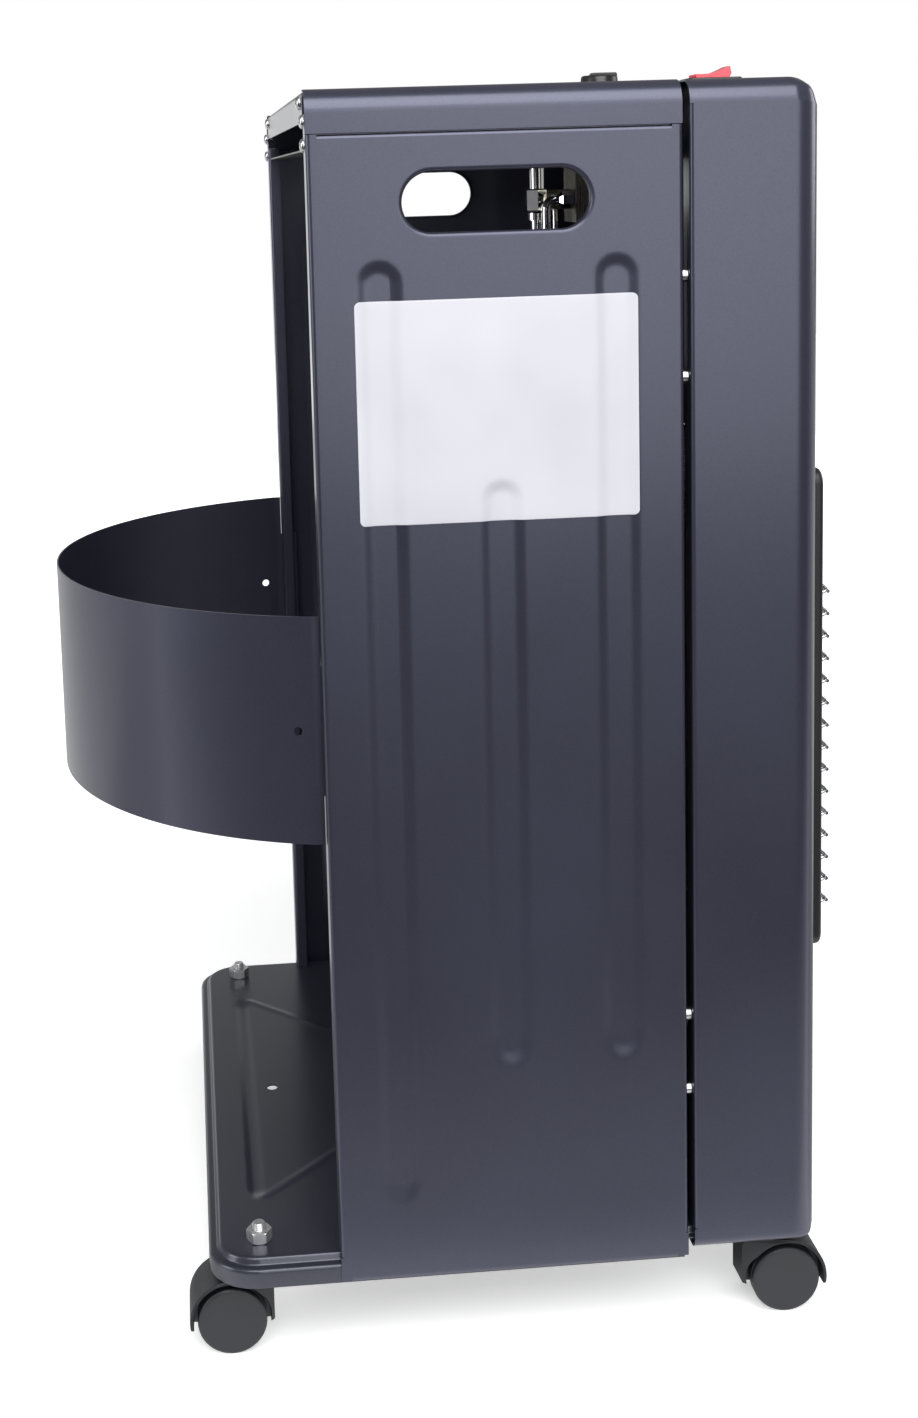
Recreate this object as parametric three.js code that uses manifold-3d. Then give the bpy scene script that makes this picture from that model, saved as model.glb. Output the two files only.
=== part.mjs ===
// Portable gas cabinet heater on casters: pressed steel cabinet, burner unit, valve, switch and casters.
// Millimetres, +Z up, the front faces -Y and the open rear +Y. The origin is on the floor, under the
// middle of the whole object. Inside the cabinet group, y = 0 lies near the middle of the side panels.
import * as THREE from "three";
import { mergeVertices } from "three/addons/utils/BufferGeometryUtils.js";
import Module from "manifold-3d";

const wasm = await Module();
wasm.setup();

// Sheet metal
const sheet = 1.0; // wall of every pressed steel piece
const gap = 0.3; // between pieces that touch
const bendRadius = 2.5; // outside radius of a bend

// Cabinet
const cabinetWidth = 420; // over the side panels
const panelDepth = 201.3; // side panel, front bend to rear bend
const panelRearY = 100; // rear bend, from the cabinet's own middle
const panelHeight = 648.4;
const coverHeight = 24; // cover, above the side panels
const coverRollRadius = 13; // long edges of the cover and of the casing's top
const coverStepIn = 1; // cover skirt, in from the panel's face
const coverFlangeHeight = 17; // rear and front down-flanges of the cover
const rearFlange = 18; // side panel's rear flange, across
const rearLip = 8; // lip that returns forward from the rear flange
const frontFlange = 14; // front flange of panel and rear flange of casing
const panelBottomLip = 8;
const lipSetback = 6; // bottom lip and top ledge stop short of the bends

// Hand slot and pressed ribs of a side panel
const slotLength = 101;
const slotHeight = 32;
const slotDrop = 37; // slot's middle, below the panel's top
const slotCollar = 4; // rolled collar, inwards
const ribWidth = 27;
const ribDepth = 2.5;
const ribSlope = 4.5; // width of the sloping wall of a rib
const ribSpacing = 64;
const ribTopDrop = 66; // outer ribs, below the panel's top
const middleRibTopDrop = 185;
const rearRibRise = 45; // rear rib's lower end, above the panel's bottom
const shortRibRise = 124; // lower ends of the other two

// Front casing
const casingDepth = 73.5;
const casingGap = 3.7; // dark gap between casing and side panels
const casingCornerRadius = 16;
const casingBottomRadius = 7;
const casingBottomStep = 5.4; // casing bottom, above the panel bottom
const casingLip = 12; // lip turned in at the casing's bottom
const flangeStandUp = 13; // casing's rear flange starts this far above its bottom
const spacerRadius = 5; // pressed spacers that keep the dark gap
const spacerHeights = [102, 147, 513, 568]; // above the panel's bottom

// Window, bezel and guard
const windowSideInset = 30; // window, in from the casing's sides
const windowHeight = 267;
const windowRise = 176; // window, above the casing's bottom
const bezelBorder = 7; // bezel, beyond the window on every side
const bezelDepth = 8.5; // how far the bezel stands proud of the casing
const bezelWall = 1.5;
const bezelLip = 9; // front lip of the bezel
const bezelCornerRadius = 6;
const guardWire = 2.2;
const guardPitch = 13.2;
const guardToothDepth = 10.1;
const guardToothRise = 11.5; // height of the sloping side of a tooth
const guardStraight = 60; // plain wire above the top tooth
const guardUprights = 4;
const guardInset = 3.5; // outermost upright, in from the bezel's opening

// Reflector, burner and quartz tubes
const reflectorDepth = 53;
const reflectorTopDrop = 21; // slope of the reflector's top wall
const reflectorFlange = 4;
const reflectorInset = 4; // reflector's walls, in from the window
const plaqueThickness = 14;
const plaqueProud = 7; // plaque face, in front of the reflector's back
const plaqueRib = 4.4; // burner body between two plaques
const burnerWall = 5;
const burnerDepth = 27;
const burnerRise = 68; // burner body, above the window's bottom
const burnerSideMargin = 22.6; // reflector's back, beyond the burner body at each side
const burnerTopMargin = 4; // reflector's back, above the burner body
const tubeRadius = 5;
const tubeSpacing = 26;
const tubeRise = 26; // lower quartz tube, above the reflector's floor
const tubeSetback = 24; // quartz tubes, behind the bezel's back
const holderWidth = 17;
const holderDepth = 16;
const holderHeight = 46;
const tubeEngagement = 9; // tube's end inside its holder

// Bottle bay
const shieldBackset = 42.5; // heat shield, behind the panel's front bend
const shieldHeight = 493;
const shieldFlange = 12;
const baffleDrop = 7; // top baffle, below the panel's top
const baffleSetback = 5; // top baffle, behind the panel's front bend
const bandReach = 155; // band's rearmost point, behind the panel's rear bend
const bandStandOff = 5.85; // ends of the band's curve, behind the panel's rear bend
const bandHeight = 130;
const bandRise = 258; // band, above the panel's bottom
const bandTongueHeight = 74;
const bandTongueLength = 11;
const bandEndInset = 12; // band's tongues, in from the panel's face
const bandHoleRadius = 2.5;

// Base tray
const trayRearReach = 75; // tray, behind the panel's rear bend
const trayFrontInset = 5.5; // tray, behind the casing's inner face
const trayHeight = 15.1;
const trayCornerRadius = 28;
const trayStepWidth = 6;
const trayStepHeight = 4;
const trayHoleRadius = 3.5;
const trayHoleInset = 46; // centre hole, in from the tray's rear edge
const swageSideInset = 68; // swage's ends, in from the panel's face
const swageWidth = 8;
const swageDepth = 2;
const swageInset = 30; // swage, in from the tray's rear edge
const beadLength = 90; // diagonal beads that run to the middle
const beadWidth = 5;
const beadHeight = 1.2;

// Casters
const wheelRadius = 20;
const wheelWidth = 9.5;
const wheelRound = 1.6;
const webWidth = 13; // hood's middle web, between the wheels
const wheelSideGap = 0.7;
const hoodGap = 2.6; // between tread and hood
const hoodWall = 2;
const hoodSkirt = 4.5; // hood, below the axle
const hoodEdgeInset = 0.6; // hood's sides, in from the wheels' faces
const axleRadius = 2.5;
const axleCover = 3; // wheel's wall outside the axle's end
const stemTrail = 17.5; // axle, behind the stem
const stemRadius = 4.6;
const bossWall = 1.6;
const collarRadius = 9;
const casterHeadroom = 0.5; // tray's skirt, above the hood, so that it swivels under it
const threadRadius = 4;
const threadAboveNut = 4;
const nutAcrossFlats = 13;
const nutHeight = 6.5;
const stemSideInset = 27; // stems, in from the panel's face
const rearStemInset = 29.5; // rear stems, in from the tray's rear edge
const frontStemInset = 27; // front stems, in from the tray's front edge

// Gas side
const knobSideInset = 91; // knob's middle, in from the casing's side
const controlsSetback = 25.5; // knob and switch, in front of the casing's rear edge
const knobRadius = 20;
const knobCrownRadius = 13;
const knobBaseHeight = 5;
const knobHeight = 16;
const knobTravel = 4;
const knobLift = 1; // left under the knob when it is pushed
const pointerWidth = 6;
const pointerHeight = 2;
const spindleRadius = 3.5;
const spindleInValve = 22;
const valveWidth = 40;
const valveDepth = 44;
const valveHeight = 62;
const valveNeckRadius = 10;
const valveNeckHeight = 19;
const valveArmRadius = 7;
const valveArmLength = 16;
const outletRise = 16; // outlets, above the valve's underside
const outletSpacing = 28;
const pipeRadius = 3;
const pilotPipeRadius = 2;
const pipeBend = 6.5; // length of a bend on each side of a pipe's corner
const inletRadius = 4;
const teeHalf = 8;
const nozzleLength = 82; // inlet pipe, below the tee
const burnerPipeBackset = 20; // burner pipe, behind the valve
const burnerPipeRise = 30; // burner pipe's bend, above the burner body
const pilotPipeBackset = 8;
const pilotPipeRise = 16; // pilot pipe's crossing, above the burner body
const pilotSize = 16;
const pilotStandOff = 10; // pilot burner, in front of the reflector's back
const pilotRise = 40; // pilot burner, above the burner body's bottom
const electrodeRadius = 3;
const electrodeLength = 42;
const electrodeTipRadius = 1;
const electrodeTipLength = 8;
const electrodeRise = 66; // electrode, above the burner body's bottom

// Switch and cable gland
const switchSideInset = 50; // switch's middle, in from the casing's side
const switchBezelLength = 30;
const switchBezelWidth = 22;
const switchBezelHeight = 1.8;
const switchBodyLength = 26;
const switchBodyWidth = 17.4;
const switchBodyDepth = 20;
const switchWall = 1.2;
const rockerHalfLength = 10;
const rockerHeight = 4.2; // rocker's ends, above its pivot
const rockerValley = 2.6; // rocker's middle, above its pivot
const rockerTilt = 12; // degrees from level, front end up
const glandRadius = 8;
const glandThreadRadius = 6;
const glandLength = 14;
const glandSideInset = 60; // cable gland, in from the panel's face
const glandRise = 42; // cable gland, above the tray

// Pan head screws at the rear of the cover and panels
const screwHeadRadius = 3.7;
const screwHeadHeight = 2;
const screwRadius = 1.8;
const screwLength = 5;
const flangeScrewInset = 32; // cover screw, in from the panel's face
const coverScrewDrop = 6.5; // cover screw, below the cover's top
const cornerScrewInset = 9;
const upperCornerScrewRise = 7; // above the panel's top
const lowerCornerScrewDrop = 5.4; // below the panel's top

// Places worked out from the sizes above
const halfWidth = cabinetWidth / 2;
const panelFrontY = panelRearY - panelDepth;
const hoodInnerRadius = wheelRadius + hoodGap;
const hoodRadius = hoodInnerRadius + hoodWall;
const hoodTopZ = wheelRadius + hoodRadius;
const trayBottomZ = hoodTopZ + casterHeadroom;
const panelBottomZ = trayBottomZ - sheet - gap;
const panelTopZ = panelBottomZ + panelHeight;
const coverTopZ = panelTopZ + coverHeight;
const coverHalfWidth = halfWidth - coverStepIn;
const flangeRise = coverHeight - coverRollRadius - gap; // rear flange, up inside the cover
const trayTopZ = trayBottomZ + trayHeight;
const trayRearY = panelRearY + trayRearReach;
const casingRearY = panelFrontY - casingGap;
const casingFrontY = casingRearY - casingDepth;
const casingBottomZ = panelBottomZ + casingBottomStep;
const casingTopZ = coverTopZ - gap;
const deckZ = casingTopZ;
const knobX = halfWidth - knobSideInset;
const switchX = switchSideInset - halfWidth;
const glandX = glandSideInset - halfWidth;
const controlsY = casingRearY - controlsSetback;
const trayFrontY = casingFrontY + sheet + trayFrontInset;
const windowWidth = cabinetWidth - 2 * windowSideInset;
const windowBottomZ = casingBottomZ + windowRise;
const windowTopZ = windowBottomZ + windowHeight;
const bezelBackY = casingFrontY - gap;
const bezelFrontY = bezelBackY - bezelDepth;
const bandRearY = panelRearY + bandReach;
const bandEndX = halfWidth - bandEndInset;

// ---- Shape helpers ----

// A closed three.js geometry as a solid that can be joined and cut.
const solid = (geometry) => {
  const bare = geometry.clone();
  bare.deleteAttribute("normal");
  bare.deleteAttribute("uv");
  const merged = mergeVertices(bare, 1e-4);
  return new wasm.Manifold(
    new wasm.Mesh({
      numProp: 3,
      vertProperties: Float32Array.from(merged.attributes.position.array),
      triVerts: Uint32Array.from(merged.index.array),
    }),
  );
};

const join = (...solids) => solids.reduce((whole, next) => whole.add(next));
const cut = (body, ...tools) => tools.reduce((left, tool) => left.subtract(tool), body);

const block = (x, y, z) => {
  const box = new THREE.BoxGeometry(x[1] - x[0], y[1] - y[0], z[1] - z[0]);
  box.translate((x[0] + x[1]) / 2, (y[0] + y[1]) / 2, (z[0] + z[1]) / 2);
  return solid(box);
};

// Rounds the corners of an outline. A point may hold its own radius as a third number.
const rounded = (points, closed, radius = 0, steps = 3) => {
  const out = [];
  points.forEach((point, i) => {
    const corner = new THREE.Vector2(point[0], point[1]);
    const r = point.length > 2 ? point[2] : radius;
    const last = points.length - 1;
    if (r <= 0 || (!closed && (i === 0 || i === last))) {
      out.push(corner);
      return;
    }
    const before = points[i === 0 ? last : i - 1];
    const after = points[i === last ? 0 : i + 1];
    const inward = corner.clone().sub(new THREE.Vector2(before[0], before[1])).normalize();
    const outward = new THREE.Vector2(after[0], after[1]).sub(corner).normalize();
    const turn = Math.atan2(inward.cross(outward), inward.dot(outward));
    const reach = r * Math.tan(Math.abs(turn) / 2);
    const start = corner.clone().addScaledVector(inward, -reach);
    const side = new THREE.Vector2(-inward.y, inward.x).multiplyScalar(Math.sign(turn) * r);
    const centre = start.clone().add(side);
    for (let step = 0; step <= steps; step += 1) {
      out.push(start.clone().rotateAround(centre, (turn * step) / steps));
    }
  });
  return out;
};

// The cross-section of bent sheet. The path is its outer face, and the sheet lies on the left of it.
const bentSheet = (path, thickness = sheet, radius = bendRadius, steps = 2) => {
  const inner = path.map((point, i) => {
    const here = new THREE.Vector2(point[0], point[1]);
    const before = path[Math.max(i - 1, 0)];
    const after = path[Math.min(i + 1, path.length - 1)];
    const into = here.clone().sub(new THREE.Vector2(before[0], before[1])).normalize();
    const out = new THREE.Vector2(after[0], after[1]).sub(here).normalize();
    const first = i === 0 ? out : into;
    const second = i === path.length - 1 ? into : out;
    const normal = new THREE.Vector2(-first.y - second.y, first.x + second.x).normalize();
    const along = new THREE.Vector2(-first.y, first.x);
    const turn = first.cross(second);
    const r = point.length > 2 ? point[2] : radius;
    const moved = here.addScaledVector(normal, thickness / normal.dot(along));
    return [moved.x, moved.y, r > 0 ? Math.max(r - Math.sign(turn) * thickness, 0) : 0];
  });
  const face = rounded(path, false, radius, steps);
  const back = rounded(inner, false, 0, steps);
  return new THREE.Shape([...face, ...back.reverse()]);
};

const outline = (points, radius = 0, steps = 3) => new THREE.Shape(rounded(points, true, radius, steps));

const rectangle = (u, v, radius = 0, steps = 3) =>
  outline([[u[0], v[0]], [u[1], v[0]], [u[1], v[1]], [u[0], v[1]]], radius, steps);

const extrude = (shape, depth) => new THREE.ExtrudeGeometry(shape, { depth, bevelEnabled: false });

// Extrusions of a (y, z) shape along X, an (x, z) shape along Y and an (x, y) shape along Z.
const alongX = (shape, [from, to]) => {
  const turn = new THREE.Matrix4().makeBasis(
    new THREE.Vector3(0, 1, 0),
    new THREE.Vector3(0, 0, 1),
    new THREE.Vector3(1, 0, 0),
  );
  return solid(extrude(shape, to - from).applyMatrix4(turn).translate(from, 0, 0));
};
const alongY = (shape, [from, to]) =>
  solid(extrude(shape, to - from).rotateX(Math.PI / 2).translate(0, to, 0));
const alongZ = (shape, [from, to]) => solid(extrude(shape, to - from).translate(0, 0, from));

// A turned shape from (radius, height) points that start and end on the axis, bottom first.
const turned = (profile, sides) => {
  const points = profile.map(([r, h]) => new THREE.Vector2(r, h));
  return new THREE.LatheGeometry(points, sides).rotateX(Math.PI / 2);
};
const turnedZ = (profile, sides, [x, y, z]) => solid(turned(profile, sides).translate(x, y, z));
const turnedX = (profile, sides, [x, y, z]) =>
  solid(turned(profile, sides).rotateY(Math.PI / 2).translate(x, y, z));
const turnedY = (profile, sides, [x, y, z]) =>
  solid(turned(profile, sides).rotateX(-Math.PI / 2).translate(x, y, z));

const rod = (radius, [from, to]) => [[0, from], [radius, from], [radius, to], [0, to]];

// A round pipe along corner points, with bends of one radius.
const pipe = (corners, radius, bend, sides = 6, steps = 24) => {
  const path = new THREE.CurvePath();
  const points = corners.map((corner) => new THREE.Vector3(...corner));
  let start = points[0];
  points.slice(1, -1).forEach((corner, i) => {
    const before = corner.clone().sub(points[i]).normalize();
    const after = points[i + 2].clone().sub(corner).normalize();
    const bendStart = corner.clone().addScaledVector(before, -bend);
    const bendEnd = corner.clone().addScaledVector(after, bend);
    path.add(new THREE.LineCurve3(start, bendStart));
    path.add(new THREE.QuadraticBezierCurve3(bendStart, corner, bendEnd));
    start = bendEnd;
  });
  path.add(new THREE.LineCurve3(start, points.at(-1)));
  const section = new THREE.Shape();
  for (let side = 0; side < sides; side += 1) {
    const angle = (2 * Math.PI * side) / sides;
    const place = [radius * Math.cos(angle), radius * Math.sin(angle)];
    if (side === 0) section.moveTo(...place);
    else section.lineTo(...place);
  }
  section.closePath();
  return solid(new THREE.ExtrudeGeometry(section, { steps, extrudePath: path, bevelEnabled: false }));
};

// An obround along Z in the (y, z) plane.
const obround = (y, z, width, height, steps = 6) => {
  const radius = Math.min(width, height) / 2;
  return rectangle([y - width / 2, y + width / 2], [z - height / 2, z + height / 2], radius - 0.01, steps);
};

// ---- Finishes ----
const finish = (color, roughness, metalness) => () =>
  new THREE.MeshStandardMaterial({ color, roughness, metalness });
const graphiteEnamel = finish(0x4b4c58, 0.42, 0.35);
const blackEnamel = finish(0x17181b, 0.5, 0.2);
const galvanised = finish(0xb9babb, 0.4, 0.8);
const chrome = finish(0xd9dadc, 0.12, 1.0);
const zincPlate = finish(0xc9cacc, 0.28, 0.95);
const casterPlastic = finish(0x2f3036, 0.5, 0.0);
const blackPlastic = finish(0x1b1b1e, 0.4, 0.0);
const redPlastic = finish(0xd8324a, 0.2, 0.0);
const ceramic = finish(0xd9c7a6, 0.8, 0.0);
const quartz = finish(0xe9edf0, 0.08, 0.0);
const brass = finish(0xb08d4a, 0.3, 0.9);
const castAlloy = finish(0xa3a5a8, 0.45, 0.85);

const cabinet = new THREE.Group();
const piece = (name, body, material, parent = cabinet) => {
  const { numProp, vertProperties, triVerts } = body.getMesh();
  const positions = new Float32Array((vertProperties.length / numProp) * 3);
  for (let i = 0; i < positions.length / 3; i += 1) {
    positions.set(vertProperties.subarray(i * numProp, i * numProp + 3), i * 3);
  }
  const shared = new THREE.BufferGeometry();
  shared.setAttribute("position", new THREE.BufferAttribute(positions, 3));
  shared.setIndex(new THREE.BufferAttribute(triVerts, 1));
  const geometry = shared.toNonIndexed();
  geometry.computeVertexNormals();
  const mesh = new THREE.Mesh(geometry, material());
  mesh.name = name;
  parent.add(mesh);
  return mesh;
};

// ---- Side panels ----
// Panels are modelled for the left, at negative x, and mirrored for the right.
const slotZ = panelTopZ - slotDrop;
const panelMidY = panelRearY - panelDepth / 2;
const ribs = [
  { y: panelMidY + ribSpacing, top: panelTopZ - ribTopDrop, bottom: panelBottomZ + rearRibRise },
  { y: panelMidY, top: panelTopZ - middleRibTopDrop, bottom: panelBottomZ + shortRibRise },
  { y: panelMidY - ribSpacing, top: panelTopZ - ribTopDrop, bottom: panelBottomZ + shortRibRise },
];

// The hollow of one rib, widest at the panel's face and narrower by the slope at its floor.
const ribHollow = (rib, grow) => {
  const width = ribWidth - 2 * ribSlope + 2 * grow;
  const height = rib.top - rib.bottom - 2 * ribSlope + 2 * grow;
  const shape = obround(0, 0, width, height, 3);
  const hollow = new THREE.ExtrudeGeometry(shape, {
    depth: sheet / 10,
    bevelEnabled: true,
    bevelSegments: 1,
    bevelThickness: ribDepth,
    bevelSize: ribSlope,
  });
  hollow.rotateX(Math.PI / 2);
  hollow.rotateZ(Math.PI / 2);
  hollow.translate(0, rib.y, (rib.top + rib.bottom) / 2);
  return solid(hollow);
};

const sidePanel = () => {
  const face = -halfWidth;
  const section = bentSheet([
    [face + rearFlange, panelRearY - rearLip],
    [face + rearFlange, panelRearY],
    [face, panelRearY],
    [face, panelFrontY],
    [face + frontFlange, panelFrontY],
  ]);
  const clearOfTray = [panelBottomZ, trayTopZ + gap];
  let body = alongZ(section, [panelBottomZ, panelTopZ]);
  body = cut(
    body,
    block([face + sheet, 0], [panelFrontY, panelRearY], clearOfTray),
  );
  const lipY = [panelFrontY + lipSetback, panelRearY - lipSetback];
  const ledgeX = face + coverStepIn + 2 * sheet + gap;
  const innerX = face + sheet / 2;
  body = join(
    body,
    block([innerX, face + panelBottomLip], lipY, [panelBottomZ, panelBottomZ + sheet]),
    block([innerX, ledgeX], lipY, [panelTopZ - sheet, panelTopZ]),
    block([ledgeX - sheet, ledgeX], lipY, [panelTopZ - sheet, panelTopZ + flangeRise]),
    block(
      [ledgeX - sheet, face + rearFlange],
      [panelRearY - sheet, panelRearY],
      [panelTopZ - coverHeight, panelTopZ + flangeRise],
    ),
  );
  const inside = block(
    [face + sheet, 0],
    [panelFrontY, panelRearY],
    [panelBottomZ, panelTopZ],
  );
  ribs.forEach((rib) => {
    const backing = ribHollow(rib, sheet).translate([face + sheet, 0, 0]).intersect(inside);
    body = cut(join(body, backing), ribHollow(rib, 0).translate([face, 0, 0]));
  });
  const collar = alongX(
    obround(panelMidY, slotZ, slotLength + 2 * sheet, slotHeight + 2 * sheet),
    [face + sheet / 2, face + slotCollar],
  );
  const opening = alongX(obround(panelMidY, slotZ, slotLength, slotHeight), [
    face - sheet,
    face + slotCollar + sheet,
  ]);
  const tongueSlot = block(
    [-bandEndX - gap, -bandEndX + sheet + gap],
    [panelRearY - 2 * sheet, panelRearY + sheet],
    [bandTongueBottomZ - gap, bandTongueTopZ + gap],
  );
  const screwHoles = [panelTopZ + upperCornerScrewRise, panelTopZ - lowerCornerScrewDrop].map((z) =>
    turnedY(rod(screwRadius + gap, [-3 * sheet, sheet]), 12, [face + cornerScrewInset, panelRearY, z]),
  );
  return cut(join(body, collar), opening, tongueSlot, ...screwHoles);
};

// ---- Bottle band ----
const bandBottomZ = panelBottomZ + bandRise;
const bandTopZ = bandBottomZ + bandHeight;
const bandMidZ = (bandBottomZ + bandTopZ) / 2;
const bandTongueBottomZ = bandMidZ - bandTongueHeight / 2;
const bandTongueTopZ = bandMidZ + bandTongueHeight / 2;

// The band's curve runs through its two ends and its rearmost point.
const bottleBand = () => {
  const rise = bandReach - bandStandOff;
  const outerRadius = (bandEndX ** 2 + rise ** 2) / (2 * rise);
  const centreY = bandRearY - outerRadius;
  const half = Math.atan2(bandEndX, outerRadius - rise);
  const steps = 30;
  const arc = (radius, from, to) =>
    Array.from({ length: steps + 1 }, (_, i) => {
      const angle = from + ((to - from) * i) / steps;
      return [radius * Math.sin(angle), centreY + radius * Math.cos(angle)];
    });
  const ring = outline([...arc(outerRadius, half, -half), ...arc(outerRadius - sheet, -half, half)]);
  const endY = panelRearY + bandStandOff;
  let body = alongZ(ring, [bandBottomZ, bandTopZ]);
  [-1, 1].forEach((side) => {
    const x = side < 0 ? [-bandEndX, -bandEndX + sheet] : [bandEndX - sheet, bandEndX];
    const tongue = block(x, [panelRearY - bandTongueLength, endY + sheet], [
      bandTongueBottomZ,
      bandTongueTopZ,
    ]);
    const hole = turnedX(rod(bandHoleRadius, [-6 * sheet, 6 * sheet]), 12, [
      side * bandEndX,
      endY + 3 * bandHoleRadius,
      bandMidZ,
    ]);
    body = cut(join(body, tongue), hole);
  });
  const flangeClearance = block([-halfWidth, halfWidth], [panelFrontY, panelRearY + gap], [
    bandBottomZ - sheet,
    bandTongueBottomZ,
  ]);
  const upperClearance = block([-halfWidth, halfWidth], [panelFrontY, panelRearY + gap], [
    bandTongueTopZ,
    bandTopZ + sheet,
  ]);
  return cut(body, flangeClearance, upperClearance);
};

// ---- Top cover ----
const coverFlangeX = halfWidth - rearFlange - sheet - gap;
const topCover = () => {
  const skirtZ = panelTopZ + gap;
  const section = bentSheet(
    [
      [coverHalfWidth, skirtZ],
      [coverHalfWidth, coverTopZ, coverRollRadius],
      [-coverHalfWidth, coverTopZ, coverRollRadius],
      [-coverHalfWidth, skirtZ],
    ],
    sheet,
    coverRollRadius,
    5,
  );
  const flangeZ = [coverTopZ - coverFlangeHeight, coverTopZ - sheet / 2];
  const flangeX = [-coverFlangeX, coverFlangeX];
  const holes = [-1, 1].map((side) =>
    turnedY(rod(screwRadius + gap, [-3 * sheet, sheet]), 12, [
      side * (halfWidth - flangeScrewInset),
      panelRearY,
      coverScrewZ,
    ]),
  );
  return cut(
    join(
      alongY(section, [panelFrontY, panelRearY]),
      block(flangeX, [panelRearY - sheet, panelRearY], flangeZ),
      block(flangeX, [panelFrontY, panelFrontY + sheet], flangeZ),
    ),
    ...holes,
  );
};
const coverScrewZ = coverTopZ - coverScrewDrop;

// ---- Front casing ----
const casingForm = (inset) => {
  const x = [-halfWidth + inset, halfWidth - inset];
  const y = [casingFrontY + inset, casingRearY + (inset > 0 ? sheet : 0)];
  const z = [casingBottomZ + inset, casingTopZ - inset];
  const corner = casingCornerRadius - inset;
  const roll = coverRollRadius - inset;
  const low = casingBottomRadius - inset;
  const plan = outline(
    [[x[0], y[0], corner], [x[1], y[0], corner], [x[1], y[1], 0], [x[0], y[1], 0]],
    0,
    5,
  );
  const side = outline(
    [[y[0], z[0], low], [y[1], z[0], 0], [y[1], z[1], 0], [y[0], z[1], corner]],
    0,
    5,
  );
  const front = outline(
    [[x[0], z[0], low], [x[1], z[0], low], [x[1], z[1], roll], [x[0], z[1], roll]],
    0,
    5,
  );
  return alongZ(plan, z).intersect(alongX(side, x)).intersect(alongY(front, y));
};

const frontCasing = () => {
  let body = cut(casingForm(0), casingForm(sheet));
  const flangeZ = [casingBottomZ + flangeStandUp, casingTopZ - coverRollRadius];
  const flangeY = [casingRearY - sheet, casingRearY];
  [-1, 1].forEach((side) => {
    const outer = side * (halfWidth - sheet / 2);
    const inner = side * (halfWidth - frontFlange);
    body = join(body, block([Math.min(outer, inner), Math.max(outer, inner)], flangeY, flangeZ));
    spacerHeights.forEach((height) => {
      const spacer = turnedY(rod(spacerRadius, [0, casingGap - gap + sheet / 2]), 10, [
        side * (halfWidth - frontFlange / 2 - sheet),
        casingRearY - sheet / 2,
        panelBottomZ + height,
      ]);
      body = join(body, spacer);
    });
  });
  const openBottom = block(
    [-halfWidth + casingLip, halfWidth - casingLip],
    [casingFrontY + casingLip, casingRearY + sheet],
    [casingBottomZ - sheet, casingBottomZ + casingBottomRadius],
  );
  const opening = block(
    [-windowWidth / 2, windowWidth / 2],
    [casingFrontY - sheet, casingFrontY + 3 * sheet],
    [windowBottomZ, windowTopZ],
  );
  const switchHole = block(
    [switchX - switchBodyWidth / 2 - gap, switchX + switchBodyWidth / 2 + gap],
    [controlsY - switchBodyLength / 2 - gap, controlsY + switchBodyLength / 2 + gap],
    [deckZ - 3 * sheet, deckZ + sheet],
  );
  const spindleHole = turnedZ(rod(valveNeckRadius - 3 * sheet, [-3 * sheet, sheet]), 16, [
    knobX,
    controlsY,
    deckZ,
  ]);
  return cut(body, openBottom, opening, switchHole, spindleHole);
};

// ---- Base tray ----
const baseTray = () => {
  const edge = halfWidth - sheet - gap;
  const plan = (inset) =>
    rectangle(
      [-edge + inset, edge - inset],
      [trayFrontY + inset, trayRearY - inset],
      Math.max(trayCornerRadius - inset, 1),
      5,
    );
  const stepZ = trayTopZ - trayStepHeight;
  let body = join(
    alongZ(plan(0), [trayBottomZ, stepZ]),
    alongZ(plan(trayStepWidth), [stepZ - sheet, trayTopZ]),
  );
  body = cut(
    body,
    alongZ(plan(sheet), [trayBottomZ - sheet, stepZ - sheet]),
    alongZ(plan(trayStepWidth + sheet), [stepZ - 2 * sheet, trayTopZ - sheet]),
  );
  const underCasing = block(
    [-halfWidth, halfWidth],
    [trayFrontY - sheet, casingRearY + gap],
    [trayBottomZ - sheet, casingBottomZ + casingBottomRadius + gap],
  );
  body = cut(body, underCasing);
  const swageLength = cabinetWidth - 2 * swageSideInset;
  const swageY = trayRearY - swageInset;
  const swage = (grow, z) =>
    block(
      [-swageLength / 2 - grow, swageLength / 2 + grow],
      [swageY - swageWidth / 2 - grow, swageY + swageWidth / 2 + grow],
      z,
    );
  body = join(body, swage(sheet, [trayTopZ - sheet - swageDepth, trayTopZ - sheet / 2]));
  body = cut(body, swage(0, [trayTopZ - swageDepth, trayTopZ + sheet]));
  [-1, 1].forEach((side) => {
    const bead = new THREE.BoxGeometry(beadLength, beadWidth, beadHeight + sheet / 2);
    bead.translate(beadLength / 2 + swageWidth, 0, (beadHeight - sheet / 2) / 2);
    bead.rotateZ(side > 0 ? (-3 * Math.PI) / 4 : -Math.PI / 4);
    bead.translate((side * swageLength) / 2, swageY, trayTopZ);
    body = join(body, solid(bead));
  });
  const holes = stems.map(({ x, y }) =>
    turnedZ(rod(threadRadius + gap, [-3 * sheet, sheet]), 12, [x, y, trayTopZ]),
  );
  const middleHole = turnedZ(rod(trayHoleRadius, [-3 * sheet, sheet]), 12, [
    0,
    trayRearY - trayHoleInset,
    trayTopZ,
  ]);
  return cut(body, middleHole, ...holes);
};

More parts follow.
